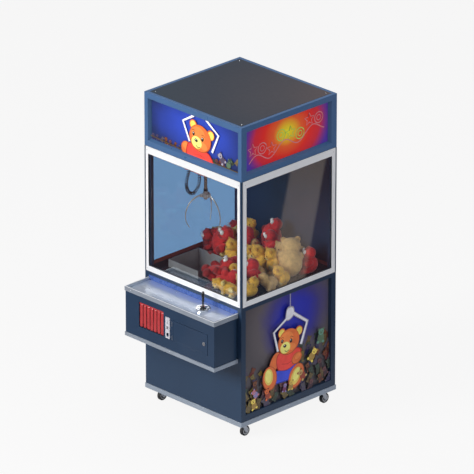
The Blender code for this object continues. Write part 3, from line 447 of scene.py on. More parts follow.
def toy_drawing(dice, u, v, size, colours=None):
    """One small toy of a painted heap: a blob with a head, ears and a lighter face."""
    colour, light = dice.choice([("brick", "fur_light"), ("straw", "sand"), ("plum", "rose"),
                                 ("moss", "mint"), ("haze", "steel_dark"), ("shirt_dark", "fur"),
                                 ("sand", "ear"), ("shorts_dark", "haze")])
    colour, light = colours or (colour + "_dim", light + "_dim")
    lean = dice.uniform(-40, 40)
    up = Vector((-math.sin(math.radians(lean)), math.cos(math.radians(lean))))
    side = Vector((up.y, -up.x))
    here = Vector((u, v))
    head = here + up * size * 0.85
    parts = [(colour, oval(u, v, size * 0.62, size * 0.72, lean, 18))]
    for sign in (-1, 1):
        ear = head + side * sign * size * 0.42 + up * size * 0.36
        foot = here + side * sign * size * 0.48 - up * size * 0.55
        parts.append((colour, oval(ear.x, ear.y, size * 0.2, size * 0.2, 0, 12)))
        parts.append((light, oval(foot.x, foot.y, size * 0.24, size * 0.2, lean, 12)))
    parts.append((light, oval(head.x, head.y, size * 0.5, size * 0.46, lean, 18)))
    snout = head - up * size * 0.12
    parts.append((colour, oval(snout.x, snout.y, size * 0.2, size * 0.15, lean, 12)))
    for sign in (-1, 1):
        eye = head + side * sign * size * 0.18 + up * size * 0.12
        parts.append(("nose", oval(eye.x, eye.y, size * 0.05, size * 0.06, 0, 8)))
    return parts


def clipped(outline, box_u, box_v):
    """The outline cut off at the edges of its panel."""
    for axis, edge, keep in ((0, box_u[0], 1), (0, box_u[1], -1), (1, box_v[0], 1), (1, box_v[1], -1)):
        kept = []
        for a, b in zip(outline, outline[1:] + outline[:1]):
            in_a, in_b = (a[axis] - edge) * keep >= 0, (b[axis] - edge) * keep >= 0
            if in_a:
                kept.append(a)
            if in_a != in_b:
                t = (edge - a[axis]) / (b[axis] - a[axis])
                kept.append((a[0] + (b[0] - a[0]) * t, a[1] + (b[1] - a[1]) * t))
        outline = kept
        if len(outline) < 3:
            return []
    return outline


def print_drawing(name, centre, across, out, box_u, box_v, layers, lit=0.0):
    """Lays flat shapes of ink on a panel, each a hair above the one before."""
    first, step = 0.0004, 0.00003
    looks, mesh = [], bmesh.new()
    across, out, up = Vector(across), Vector(out), Vector((0.0, 0.0, 1.0))
    for k, (colour, outline) in enumerate(layers):
        outline = clipped(outline, box_u, box_v)
        if not outline:
            continue
        look = ink(colour, palette[colour], lit)
        if look not in looks:
            looks.append(look)
        lift = out * (first + step * k)
        face = mesh.faces.new([mesh.verts.new(centre + across * u + up * v + lift) for u, v in outline])
        face.normal_update()
        if face.normal.dot(out) < 0:
            face.normal_flip()
        face.material_index = looks.index(look)
    made = bpy.data.meshes.new(name)
    mesh.to_mesh(made)
    mesh.free()
    for look in looks:
        made.materials.append(look)
    piece = placed(name, made)
    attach(piece, "cabinet")


def side_picture():
    """The sitting bear in its claw, with the heap of toys round it."""
    dice = random.Random(7)
    layers = []
    for row in range(9):
        v = -0.03 - 0.034 * row
        for k in range(10):
            u = -0.33 + 0.073 * k + dice.uniform(-0.02, 0.02)
            crest = -0.085 + 0.1 * max(0.0, u) / 0.345 + 0.02 * math.sin(9 * u)
            if v < crest:
                layers += toy_drawing(dice, u, v + dice.uniform(-0.012, 0.012), dice.uniform(0.026, 0.036))
    layers += drawn(
        ("steel_dark", "line", 7, 17, 330, 17, 235),
        ("steel_dark", "blob", -10, 236, 20, 243, 46, 228, 50, 190, 30, 166, -4, 158, -22, 180),
        ("steel", "blob", -6, 228, 20, 235, 41, 222, 44, 192, 26, 171, -2, 164, -16, 182),
        ("steel_dark", "line", 19, -13, 172, -116, 116, -81, -12),
        ("steel", "line", 12, -13, 174, -114, 117, -82, -9),
        ("steel_dark", "line", 24, 44, 190, 156, 108, 104, -22),
        ("steel", "line", 15, 44, 192, 153, 109, 104, -19),
        ("fur_dark", "oval", -105, -70, 40, 62, -30), ("fur", "oval", -104, -69, 36, 57, -30),
        ("shirt_dark", "blob", -80, -30, 0, -22, 95, -40, 100, -90, 75, -140, -10, -150, -75, -135, -95, -80),
        ("shirt", "blob", -76, -34, 0, -27, 90, -44, 94, -88, 70, -134, -10, -144, -70, -130, -89, -80),
        ("shirt_dark", "line", 3, -50, -100, 0, -112, 40, -100),
        ("shorts_dark", "blob", -115, -128, -10, -148, 75, -130, 80, -185, 20, -215, -60, -215, -125, -200),
        ("shorts", "blob", -110, -133, -10, -152, 70, -135, 74, -183, 18, -208, -58, -208, -118, -195),
        ("fur_dark", "oval", 70, -98, 43, 34, 25), ("fur", "oval", 71, -96, 39, 30, 25),
        ("fur_light", "oval", 78, -88, 22, 16, 25),
        ("fur_dark", "oval", -148, -160, 58, 77, 10), ("fur", "oval", -148, -158, 53, 72, 10),
        ("pad", "oval", -156, -148, 34, 52, 8), ("muzzle", "oval", -158, -144, 24, 40, 8),
        ("fur_dark", "oval", 66, -208, 60, 78, -28), ("fur", "oval", 66, -206, 55, 73, -28),
        ("pad", "oval", 63, -208, 36, 55, -28), ("muzzle", "oval", 68, -200, 24, 40, -28))
    layers += head_drawing(0.004, 0.026, 0.082, -9.0)
    for toy_u, toy_v, toy_size, colours in (
            (-0.275, -0.29, 0.034, ("straw", "ear")), (-0.262, -0.225, 0.03, ("haze", "rose")),
            (-0.165, -0.262, 0.034, ("brick", "fur")), (-0.03, -0.262, 0.026, ("plum", "haze")),
            (0.02, -0.262, 0.03, ("straw", "muzzle_dark")), (0.118, -0.222, 0.036, ("brick", "sand")),
            (0.19, -0.125, 0.04, ("straw", "ear")), (0.262, -0.03, 0.044, ("moss", "mint"))):
        layers += toy_drawing(dice, toy_u, toy_v, toy_size, colours)
    return layers


def radial_ground(name, centre, radii, stops, drift_scale=9.0, drift_by=0.25, lit=0.0):
    """A ground whose colour changes with the distance from a centre, a little unevenly: print on the signs
    and sides, a painted reflection on the marquee cover.
    """
    made = finish(name, (0.5, 0.5, 0.5), 0.33, coat=0.4)
    net = made.node_tree
    shader = net.nodes["Principled BSDF"]
    where = node(net, "TexCoord")
    shift = node(net, "Mapping", {"Location": [-c / r for c, r in zip(centre, radii)],
                                  "Scale": [1.0 / r for r in radii]}, vector_type="POINT")
    far = node(net, "VectorMath", operation="LENGTH")
    uneven = node(net, "TexNoise", {"Scale": drift_scale, "Detail": 3.0})
    moved = node(net, "Math", {1: drift_by}, operation="MULTIPLY_ADD")
    total = node(net, "Math", {1: drift_by / 2}, operation="SUBTRACT")
    ramp = colour_ramp(net, stops)
    wire(net, (where, "Object", shift, "Vector"), (shift, 0, far, 0), (where, "Object", uneven, "Vector"),
         (uneven, "Fac", moved, 0), (far, "Value", moved, 2), (moved, 0, total, 0), (total, 0, ramp, 0),
         (ramp, 0, shader, "Base Color"))
    if lit:
        wire(net, (ramp, 0, shader, "Emission Color"))
        fill(shader, {"Emission Strength": lit})
    return made


picture_z = (0.157 + 0.806) / 2
for side, name in ((1, "right"), (-1, "left")):
    low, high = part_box(name + "_side_graphic")
    face_x = high.x if side > 0 else low.x
    ground = radial_ground(name + "_side_ground", (face_x, mid_y + side * 0.07, 0.655), (0.4, 0.4, 0.36),
                        [(0.0, (0.02, 0.035, 0.5)), (0.28, (0.022, 0.03, 0.4)),
                         (0.48, (0.05, 0.045, 0.22)), (0.75, (0.115, 0.1, 0.112)),
                         (1.0, (0.085, 0.075, 0.085))])
    dress(ground, name + "_side_graphic")
    print_drawing(name + "_side_drawing", at(face_x, 0.0, picture_z), (0, side, 0), (side, 0, 0),
                  (-0.352, 0.352), (-0.335, 0.335), side_picture())


def hinge_barrels(name, x, heights):
    """Zinc-plated hinge barrels with two joints each, behind the cabinet's rear edge."""
    barrels = bmesh.new()
    lower = [(0.0, -0.03), (0.003, -0.03), (0.003, -0.0104), (0.0025, -0.01), (0.003, -0.0096)]
    for z in heights:
        spun(barrels, lower + [(radius, -height) for radius, height in lower[::-1]], 14, at(x, 0.3815, z))
    add_piece(name, barrels, screw_steel, "cabinet", smooth=40, slot="zinc_steel")


hinge_barrels("service_door_hinges", 0.284, (0.25, 0.475, 0.7))
latch = bmesh.new()
spun(latch, [(0.0, 0.0032), (0.0105, 0.0032), (0.0118, 0.0022), (0.0118, -0.0004)], 24,
     at(-0.262, 0.381, 0.475), "y")
slab(latch, at(-0.2635, 0.3838, 0.469), at(-0.2605, 0.3846, 0.481))
add_piece("service_door_latch", latch, screw_steel, "rear_service_door", smooth=40, slot="zinc_steel")

# ---------------------------------------------------------------- playfield and prize chute
# A black enamelled steel pan with a turned-up lip along the left and the back. The square chute is folded
# from grey textured sheet, riveted at its corners, and runs down to the flap in the control box.
pan_enamel = finish("pan_enamel", (0.01, 0.024, 0.03), 0.2, drift=0.2, cloud=9.0, coat=0.5)
dress(pan_enamel, "playfield_floor")
chute_sheet = finish("chute_sheet", (0.3, 0.31, 0.32), 0.46, 0.15, drift=0.14, cloud=14.0, skin=420.0,
                     depth=0.00012)
dress(chute_sheet, "prize_chute")
soften(0.0008, "prize_chute")
# the lip's cover is a brownish red: a painted reflection of the red toys in the metal lip
lip_painted_red_reflection = finish("lip_painted_red_reflection", (0.28, 0.055, 0.036), 0.22, drift=0.35, cloud=7.0, coat=0.5)
lip = bmesh.new()
slab(lip, at(-0.3624, -0.345, 0.865), at(-0.3612, 0.347, 0.8885))
slab(lip, at(-0.361, 0.3462, 0.865), at(0.361, 0.3476, 0.8885))
add_piece("pan_lip_cover", lip, lip_painted_red_reflection, "cabinet", slot="playfield_black")
add_screws("chute_rivets", [(at(x, y, z), facing, 0.0022) for x in (-0.309, -0.081)
                            for z in (0.853, 0.866, 0.879)
                            for y, facing in ((-0.2701, "-y"), (-0.0279, "y"))], slot="chute_grey")

# ---------------------------------------------------------------- window section
# A welded steel frame. Three windows are toughened panes in mitred aluminium rings with a black seal;
# the left pane is blue glass. The rear wall is a steel door for refilling, on two hinges with a lock.
dress(navy_paint, "upper_frame", "back_door")
soften(0.001, "upper_frame", "back_door")
dress(trim_metal, "front_window_frame", "left_window_frame", "right_window_frame")
soften(0.001, "front_window_frame", "left_window_frame", "right_window_frame")


def pane_glass(name, tint, shine, mirror=(0.04, 0.26)):
    """A polished pane: clear straight through, and more of a mirror the flatter it is looked along."""
    made = bpy.data.materials.new(name)
    made.use_nodes = True
    net = made.node_tree
    net.nodes.remove(net.nodes["Principled BSDF"])
    through = node(net, "BsdfTransparent", {"Color": (*tint, 1.0)})
    gloss = node(net, "BsdfGlossy", {"Color": (*shine, 1.0), "Roughness": 0.02})
    slope = node(net, "LayerWeight", {"Blend": 0.5})
    share = node(net, "Math", {1: mirror[1], 2: mirror[0]}, operation="MULTIPLY_ADD")
    both = node(net, "MixShader")
    wire(net, (slope, "Facing", share, 0), (share, 0, both, 0), (through, 0, both, 1), (gloss, 0, both, 2),
         (both, 0, net.nodes["Material Output"], "Surface"))
    return made


clear_glass = pane_glass("clear_glass", (0.97, 0.985, 0.99), (0.95, 0.97, 1.0), (0.05, 0.32))
blue_glass = pane_glass("blue_glass", (0.47, 0.66, 0.86), (0.7, 0.82, 1.0), (0.02, 0.06))
dress(clear_glass, "front_window_glass", "right_window_glass")
dress(blue_glass, "left_window_glass")

seal_rubber = finish("seal_rubber", (0.02, 0.022, 0.025), 0.55, drift=0.1, cloud=30.0)
pane_low, pane_high = 0.866, 1.562


def window_seal(bm, half, outside, inside, axis):
    """Four strips of seal round the inside of a window opening, in a wall across the given axis."""
    low, high, half, width = pane_low + 0.0002, pane_high - 0.0002, half - 0.0002, 0.0016
    near, far = sorted((outside, inside))
    for a0, a1, z0, z1 in ((-half, half, low, low + width), (-half, half, high - width, high),
                           (-half, -half + width, low + width, high - width),
                           (half - width, half, low + width, high - width)):
        if axis == "y":
            slab(bm, at(a0, near, z0), at(a1, far, z1))
        else:
            slab(bm, at(near, a0, z0), at(far, a1, z1))


for name, half, facing, face, outside, inside in (("front", 0.364, "-y", -0.383, -0.3822, -0.3778),
                                                  ("left", 0.342, "-x", -0.397, -0.3962, -0.3918),
                                                  ("right", 0.342, "x", 0.397, 0.3962, 0.3918)):
    seal = bmesh.new()
    window_seal(seal, half, outside * 0.999, inside, facing[-1])
    add_piece(name + "_window_seal", seal, seal_rubber, "cabinet", slot="black_plastic")
    places = [(a, face, z) if name == "front" else (face, a, z) for z in (0.849, 1.214, 1.584)
              for a in (-half - 0.01, half + 0.01)]
    add_screws(name + "_window_screws", [(at(*place), facing, 0.0026) for place in places])

hinge_barrels("back_door_hinges", 0.3833, (0.95, 1.22, 1.49))
handle = bmesh.new()
spun(handle, [(0.0, 0.0034), (0.01, 0.0034), (0.0112, 0.0024), (0.0112, -0.0004)], 24,
     at(-0.362, 0.381, 1.22), "y")
slab(handle, at(-0.3635, 0.3838, 1.214), at(-0.3605, 0.3848, 1.226))
for z in (1.1, 1.34):
    screw_head(handle, at(-0.362, 0.381, z), "y", 0.003)
add_piece("back_door_lock", handle, screw_steel, "back_door", smooth=40, slot="zinc_steel")

# ---------------------------------------------------------------- marquee
# The sign: a board housing with bevelled openings, printed plastic sheets lit from inside by one tube,
# and a lift-off cover. The front shows the bear in a claw, the sides a sunburst with a garland.
# the housing's blue is lighter than the cabinet's navy: painted light, for the strong light falling on it
# from the front
brightened_sign_paint = finish("brightened_sign_paint", (0.056, 0.128, 0.268), 0.3, drift=0.05, skin=500.0, coat=0.45)
dress(brightened_sign_paint, "marquee_housing")
# the cover is navy; its brownish glow towards the back right corner is a painted reflection
cover_painted_reflection = radial_ground("cover_painted_reflection", (0.44, mid_y + 0.42, 1.937), (1.25, 1.25, 1.25),
                         [(0.0, (0.085, 0.052, 0.046)), (0.3, (0.042, 0.034, 0.038)),
                          (0.62, (0.017, 0.022, 0.034)), (1.0, (0.009, 0.026, 0.04))],
                         drift_scale=4.0, drift_by=0.1)
dress(cover_painted_reflection, "marquee_top_cover")
soften(0.0016, "marquee_housing")
lamp_white = finish("lamp_white", (0.86, 0.86, 0.83), 0.35, drift=0.03)
dress(lamp_white, "marquee_light")
sign_z = (1.652 + 1.89) / 2
sign_light = 0.1
low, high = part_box("marquee_front_panel")
front_face = low.y - mid_y
front_ground = radial_ground("marquee_front_ground", (0.02, low.y, 1.8), (0.42, 0.42, 0.2),
                          [(0.0, (0.026, 0.068, 0.5)), (0.4, (0.024, 0.06, 0.44)),
                           (0.8, (0.018, 0.038, 0.22)), (1.05, (0.014, 0.026, 0.1))], lit=sign_light)
dress(front_ground, "marquee_front_panel")
dice = random.Random(11)
layers = []
for k in range(20):
    u = -0.345 + 0.036 * k
    edge = 0.02 if u < -0.08 else 0.012 + 0.05 * max(0.0, (u - 0.15) / 0.2)
    layers += toy_drawing(dice, u, -0.128 + edge + dice.uniform(-0.006, 0.006), dice.uniform(0.016, 0.023))
for u, v, size, colours in ((0.225, -0.082, 0.034, ("haze_dim", "steel_dark")),
                            (0.275, -0.098, 0.028, ("moss", "mint_dim")),
                            (0.19, -0.112, 0.022, ("plum_dim", "rose_dim"))):
    layers += toy_drawing(dice, u, v, size, colours)
layers += drawn(
    ("straw_dim", "line", 6, -362, -98, -220, -106, -60, -114, 362, -120),
    ("haze", "line", 17, -4, 125, -94, 70, -40, -42), ("white", "line", 13, -4, 125, -94, 70, -40, -42),
    ("haze", "line", 17, 94, 125, 194, 58, 142, -60), ("white", "line", 13, 94, 125, 194, 58, 142, -60),
    ("fur_dark", "oval", -66, -92, 44, 44), ("fur", "oval", -65, -90, 40, 40),
    ("fur_light", "oval", -72, -78, 22, 20),
    ("shirt_dark", "blob", -50, -50, 50, -70, 115, -75, 150, -130, 50, -160, -60, -150),
    ("shirt", "blob", -44, -54, 50, -73, 110, -80, 143, -130, 50, -155, -54, -145),
    ("shirt_dark", "line", 3, 0, -110, 40, -103, 85, -112))
layers += head_drawing(0.046, -0.002, 0.084, -10.0)
print_drawing("marquee_front_drawing", at(0.0, front_face, sign_z), (1, 0, 0), (0, -1, 0), (-0.362, 0.362),
              (-0.125, 0.125), layers, lit=sign_light)


def star(u, v, size, turn):
    """The outline of a five-pointed star."""
    ring = []
    for i in range(10):
        far, angle = size * (0.45 if i % 2 else 1.0), math.radians(turn + 36 * i)
        ring.append((u + far * math.cos(angle), v + far * math.sin(angle)))
    return ring


def outlined(outline, width):
    """A closed outline drawn as a line."""
    return stroke(outline + outline[:2], width)


for side, name in ((1, "right"), (-1, "left")):
    low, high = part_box("marquee_" + name + "_panel")
    face_x = high.x if side > 0 else low.x
    ground = radial_ground("marquee_" + name + "_ground", (face_x, mid_y + side * 0.005, 1.8),
                        (0.4, 0.34, 0.27),
                        [(0.0, (0.82, 0.74, 0.015)), (0.14, (0.8, 0.52, 0.015)), (0.32, (0.8, 0.11, 0.02)),
                         (0.55, (0.78, 0.02, 0.012)), (0.76, (0.62, 0.018, 0.04)),
                         (0.9, (0.22, 0.03, 0.24)), (1.0, (0.08, 0.035, 0.36))],
                        drift_scale=5.0, drift_by=0.1, lit=sign_light)
    dress(ground, "marquee_" + name + "_panel")
    line = []
    for k in range(41):
        u = -0.3 + 0.015 * k
        line.append((u, -0.04 + 0.14 * u + 0.03 * math.sin(0.42 * k)))
    garland = [("rose", stroke(line, 0.006))]
    for k, (u, v) in enumerate(line[2:-1:5]):
        colour = "lime" if 2 < k < 6 else "rose"
        if k % 2:
            garland.append((colour, outlined(oval(u, v + 0.048, 0.033, 0.033), 0.0062)))
            garland.append((colour, outlined(oval(u, v + 0.048, 0.016, 0.016), 0.005)))
        else:
            garland.append((colour, outlined(star(u, v + 0.05, 0.04, 90), 0.006)))
    print_drawing("marquee_" + name + "_drawing", at(face_x, 0.0, sign_z), (0, side, 0), (side, 0, 0),
                  (-0.335, 0.335), (-0.125, 0.125), garland, lit=sign_light)
add_screws("marquee_cover_screws", [(at(x, y, 1.937), "z", 0.0034) for x in (-0.35, 0.35)
                                    for y in (-0.335, 0.335)])

# ---------------------------------------------------------------- control box
# A painted box bolted to the front. Its deck is a brushed steel sheet inside an aluminium rim, with the
# prize flap, the coin plate and the lockable coin door in the front, and the coin box inside.
dress(navy_paint, "control_box", "coin_door")
soften(0.0014, "control_box")
soften(0.0008, "coin_door")
dress(shaded_trim_metal, "deck_trim", "box_bottom_trim")
soften(0.0012, "deck_trim", "box_bottom_trim")
brushed_steel = finish("brushed_steel", (0.78, 0.84, 0.94), 0.3, 0.85, drift=0.05, cloud=14.0, polish=0.06,
                       skin=900.0, depth=0.00003, stretch=(0.05, 1.0, 1.0))
dress(brushed_steel, "control_deck")
plate_steel = finish("plate_steel", (0.7, 0.7, 0.76), 0.36, 0.35, drift=0.06, cloud=60.0,
                     stretch=(1.0, 1.0, 0.1))
dress(plate_steel, "coin_plate")
dress(screw_steel, "coin_door_lock", "coin_return_button")
dress(zinc, "coin_box")
heads = [(at(x, y, 0.781), "z", 0.003) for x in (-0.34, -0.12, 0.12, 0.34) for y in (-0.545, -0.398)]
heads += [(at(x, -0.5713, z), "-y", 0.0016) for x in (-0.027, 0.0) for z in (0.5825, 0.705)]
for z in (0.5, 0.779):
    heads += [(at(x, -0.571, z), "-y", 0.0024) for x in (-0.32, 0.0, 0.32)]
    heads += [(at(side * 0.369, -0.47, z), facing, 0.0024) for side, facing in ((-1, "-x"), (1, "x"))]
add_screws("control_box_screws", heads)
slot_lining = bmesh.new()
slab(slot_lining, at(-0.0206, -0.5532, 0.596), at(-0.0064, -0.5524, 0.692))
add_piece("coin_mechanism_front", slot_lining, seal_rubber, "cabinet", slot="black_plastic")
knuckles = bmesh.new()
for z in (0.592, 0.678):
    spun(knuckles, [(0.0, -0.014), (0.0022, -0.014), (0.0022, 0.014), (0.0, 0.014)], 12,
         at(0.0215, -0.5687, z))
add_piece("coin_door_hinges", knuckles, screw_steel, "coin_door", smooth=40, slot="zinc_steel")

rim = bmesh.new()
for low, high in ((at(-0.369, -0.571, 0.7951), at(0.369, -0.566, 0.7957)),
                  (at(-0.369, -0.5658, 0.7951), at(-0.364, -0.3815, 0.7957)),
                  (at(0.364, -0.5658, 0.7951), at(0.369, -0.3815, 0.7957))):
    slab(rim, low, high)
add_piece("deck_rim_cap", rim, trim_metal, "cabinet", slot="aluminium_trim")
# painted light: a strip of lighter blue than the navy wall it covers, where that wall looks brighter above
# the deck
splash_painted_light = finish("splash_painted_light", (0.05, 0.11, 0.36), 0.28, 0.2, drift=0.1, cloud=6.0, coat=0.4)
splash = bmesh.new()
slab(splash, at(-0.364, -0.3826, 0.7815), at(0.364, -0.3811, 0.812))
add_piece("deck_splash_strip", splash, splash_painted_light, "cabinet", slot="navy_paint")

# The prize flap: seven overlapping strips of soft red vinyl hung from a bar, each slightly curled.
vinyl = finish("red_vinyl", (0.42, 0.036, 0.04), 0.34, drift=0.1, cloud=26.0, coat=0.25)
curtain_low, curtain_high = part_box("prize_curtain")
bar = bmesh.new()
bar_z = curtain_high.z - 0.005
front_y = (curtain_low.y + curtain_high.y) / 2
slab(bar, (curtain_low.x, front_y - 0.0035, bar_z - 0.0045),
     (curtain_high.x, front_y + 0.0035, bar_z + 0.0045))
bmesh.ops.bevel(bar, geom=bar.edges[:], offset=0.0012, segments=2, affect="EDGES")
header = add_piece("curtain_bar", bar, vinyl, "prize_curtain", smooth=40, slot="red_vinyl")
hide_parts("prize_curtain")
pitch = (curtain_high.x - curtain_low.x) / 7
for k in range(7):
    strip = bmesh.new()
    middle = curtain_low.x + pitch * (k + 0.5)
    half = pitch * 0.415
    drop = bar_z - 0.003 - (curtain_low.z + 0.0015)
    rows = []
    for j in range(17):
        z = bar_z - 0.003 - drop * j / 16
        sway = 0.001 * math.sin(5.0 * j / 16 + k * 1.7) * j / 16
        slim = 1.0 - 0.02 * math.sin(j + k)
        curl = [front_y - 0.0012 - 0.0026 * math.cos((i / 4 - 1) * math.pi / 2) + sway for i in range(9)]
        rows.append([strip.verts.new((middle + half * (i / 4 - 1) * slim, curl[i], z)) for i in range(9)])
    for upper, lower in zip(rows, rows[1:]):
        for i in range(8):
            strip.faces.new((upper[i], upper[i + 1], lower[i + 1], lower[i]))
    piece = add_piece("curtain_strip_%d" % (k + 1), strip, vinyl, "prize_curtain", smooth=60,
                      slot="red_vinyl")
    thick = piece.modifiers.new("thickness", "SOLIDIFY")
    thick.thickness = 0.0014
    thick.offset = 0.0

# ---------------------------------------------------------------- joystick
# A chromed dish screwed to the deck, a gimbal ring under it, and a black tapered grip with the drop
# button, also black, in its end.
chrome = finish("chrome", (0.86, 0.87, 0.89), 0.09, 1.0, drift=0.02, polish=0.03)
dress(chrome, "joystick_base", "joystick_gimbal")
grip_black = finish("grip_black", (0.014, 0.014, 0.016), 0.26, drift=0.1, cloud=60.0, coat=0.3)
dress(grip_black, "joystick_stick", "drop_button")
boot = bmesh.new()
spun(boot, [(0.0162, 0.7787), (0.015, 0.7806), (0.012, 0.7839), (0.0085, 0.7863), (0.0064, 0.7876),
            (0.006, 0.7925), (0.0052, 0.7925), (0.0052, 0.7866), (0.008, 0.7853), (0.0112, 0.7832),
            (0.0141, 0.7802), (0.0153, 0.7781)], 28, at(0.166, -0.462, 0.0))
add_piece("joystick_boot", boot, seal_rubber, "joystick_stick", smooth=40, slot="black_plastic")

# ---------------------------------------------------------------- gantry
# Two aluminium channel rails, a bridge of two square bars between roller trucks, and the red trolley with
# its winch. A black curly lead feeds the trolley from an arm of the bridge.
claw_x, claw_y = -0.15, -0.133
dress(trim_metal, "gantry_rail_left", "gantry_rail_right")
dress(zinc, "gantry_bridge", "winch_drum")
trolley_red = finish("trolley_red", (0.62, 0.02, 0.03), 0.34, drift=0.08, cloud=12.0, coat=0.3)
dress(trolley_red, "trolley_carriage")
dress(plate_steel, "winch_motor")
soften(0.0008, "gantry_bridge", "trolley_carriage")
drum_low, drum_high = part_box("winch_drum")
lift_cord = finish("lift_cord", (0.7, 0.68, 0.62), 0.7, drift=0.12, cloud=200.0)
turns = bmesh.new()
profile = []
for k in range(11):
    x = -0.011 + 0.0022 * k
    profile += [(0.0121, x - 0.0011), (0.0133, x)]
spun(turns, profile + [(0.0121, 0.0121)], 24, (drum_low + drum_high) / 2, "x")
add_piece("winch_cord_turns", turns, lift_cord, "winch_drum", smooth=60, slot="zinc_steel")
add_screws("trolley_bolts", [(at(claw_x + dx, claw_y + dy, 1.6035), "z", 0.0032) for dx in (-0.078, 0.078)
                             for dy in (-0.053, 0.053)], "trolley")


def square_to(along):
    """Two directions square to a line that lies across the machine's width."""
    side = (Vector((1.0, 0.0, 0.0)) - along * along.x).normalized()
    return side, along.cross(side)


# The lead's middle line first, then the wire wound round it, thinned out to nothing at both ends.
cord_black = finish("cord_black", (0.016, 0.018, 0.024), 0.26, drift=0.15, cloud=90.0, coat=0.6)
wire_r, coil_r, pitch, run_in = 0.0023, 0.0084, 0.01, 0.012
steps_per_turn, wire_sides, curve_steps = 14, 6, 60
lead_start, lead_end = (-0.16, -0.243, 1.5557), (-0.163, -0.17, 1.4587)
knots = [at(*p) for p in (lead_start, (-0.16, -0.2455, 1.505), (-0.16, -0.268, 1.445),
                          (-0.16, -0.277, 1.405), (-0.161, -0.262, 1.355), (-0.162, -0.223, 1.33),
                          (-0.163, -0.184, 1.352), (-0.163, -0.171, 1.4), lead_end)]
knots = [2 * knots[0] - knots[1]] + knots + [2 * knots[-1] - knots[-2]]
dense = [curve_point(*four, i / curve_steps) for four in zip(knots, knots[1:], knots[2:], knots[3:])
         for i in range(curve_steps)] + [knots[-2]]
reach = [0.0]
for near, far in zip(dense, dense[1:]):
    reach.append(reach[-1] + (far - near).length)
count = round(reach[-1] / pitch * steps_per_turn)
centres, k = [], 0
for i in range(count + 1):
    goal = reach[-1] * i / count
    while k < len(reach) - 2 and reach[k + 1] < goal:
        k += 1
    here = dense[k].lerp(dense[k + 1], (goal - reach[k]) / (reach[k + 1] - reach[k]))
    side, up = square_to((dense[k + 1] - dense[k]).normalized())
    ends = min(1.0, goal / run_in, (reach[-1] - goal) / run_in)
    swell = coil_r * ends * ends * (3 - 2 * ends)
    angle = math.tau * goal / pitch
    centres.append(here + (side * math.cos(angle) + up * math.sin(angle)) * swell)
tube = bmesh.new()
rings = []
for i, centre in enumerate(centres):
    side, up = square_to((centres[min(i + 1, count)] - centres[max(i - 1, 0)]).normalized())
    rings.append([tube.verts.new(centre + (side * math.cos(a) + up * math.sin(a)) * wire_r)
                  for a in [math.tau * j / wire_sides for j in range(wire_sides)]])
for near, far in zip(rings, rings[1:]):
    for j in range(wire_sides):
        beside = (j + 1) % wire_sides
        tube.faces.new((near[j], near[beside], far[beside], far[j]))
tube.faces.new(rings[0])
tube.faces.new(rings[-1][::-1])
lead_mesh = bpy.data.meshes.new("trolley_lead")
bmesh.ops.recalc_face_normals(tube, faces=tube.faces)
tube.to_mesh(lead_mesh)
tube.free()
lead_mesh.shade_smooth()
lead_mesh.materials.append(cord_black)
lead = placed("trolley_lead", lead_mesh)
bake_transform(lead)
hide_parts("trolley_cord")
for name, body, x, y, z in (("bridge_gland", "gantry_bridge", -0.16, -0.243, 1.556),
                            ("trolley_gland", "trolley", -0.163, -0.17, 1.459)):
    gland = bmesh.new()
    spun(gland, [(0.0058, 0.0), (0.0058, 0.0045), (0.0046, 0.006), (0.003, 0.0075), (0.0024, 0.011),
                 (0.0, 0.011)], 14, at(x, y, z), "-z")
    add_piece(name, gland, seal_rubber, body, smooth=40, slot="black_plastic")

# ---------------------------------------------------------------- telescope and claw
# A chromed steel tube with a second one sliding in it. The hub is a turned body with three forked ears;
# each finger is one bent, polished bar on a pin.
claw_steel = finish("claw_steel", (0.74, 0.73, 0.72), 0.24, 0.55, drift=0.08, cloud=30.0, polish=0.08,
                    coat=0.4)
# the chromed tubes are coloured bronze: a painted warm reflection in the chrome
tube_warm_reflection = finish("tube_warm_reflection", (0.72, 0.6, 0.48), 0.18, 0.75, drift=0.14, cloud=16.0,
                     stretch=(3.0, 3.0, 0.3))
dress(tube_warm_reflection, "telescope_outer", "telescope_inner")
dress(claw_steel, "claw_hub", "claw_finger_1", "claw_finger_2", "claw_finger_3")
pins = bmesh.new()
for degrees in (0.0, 120.0, 240.0):
    turn = math.radians(degrees)
    axis = Vector((-math.sin(turn), math.cos(turn), 0.0))
    centre = at(claw_x + 0.026 * math.cos(turn), claw_y + 0.026 * math.sin(turn), 1.297)
    for sign in (-1, 1):
        cap = spun(bmesh.new(), [(0.0044, 0.0066), (0.0044, 0.0074), (0.003, 0.0084), (0.0, 0.0084)], 14,
                   (0, 0, 0))
        aim = (axis * sign).to_track_quat("Z", "Y").to_matrix().to_4x4()
        bmesh.ops.transform(cap, matrix=Matrix.Translation(centre) @ aim, verts=cap.verts)
        spare = bpy.data.meshes.new("spare")
        cap.to_mesh(spare)
        cap.free()
        pins.from_mesh(spare)
        bpy.data.meshes.remove(spare)
add_piece("claw_pin_caps", pins, chrome, "claw_lift", smooth=40, slot="chrome")
collar = bmesh.new()
spun(collar, [(0.0097, 1.324), (0.0118, 1.324), (0.0124, 1.3255), (0.0124, 1.3345), (0.0118, 1.336),
              (0.0097, 1.336)], 28, at(claw_x, claw_y, 0.0))
add_piece("telescope_collar", collar, grip_black, "trolley", smooth=40, slot="black_plastic")

# ---------------------------------------------------------------- the prizes
# Three heaps of stuffed toys in short pile fabric: red furry creatures with white button eyes, and yellow
# and tan bears. Each toy is one sewn and stuffed skin that dents where it lies against its neighbours.

def pile(name, colour):
    """Short-haired plush fabric."""
    return finish("plush_" + name, colour, 0.93, drift=0.2, cloud=55.0, polish=0.05, skin=380.0,
                  depth=0.0011, sheen=0.3)


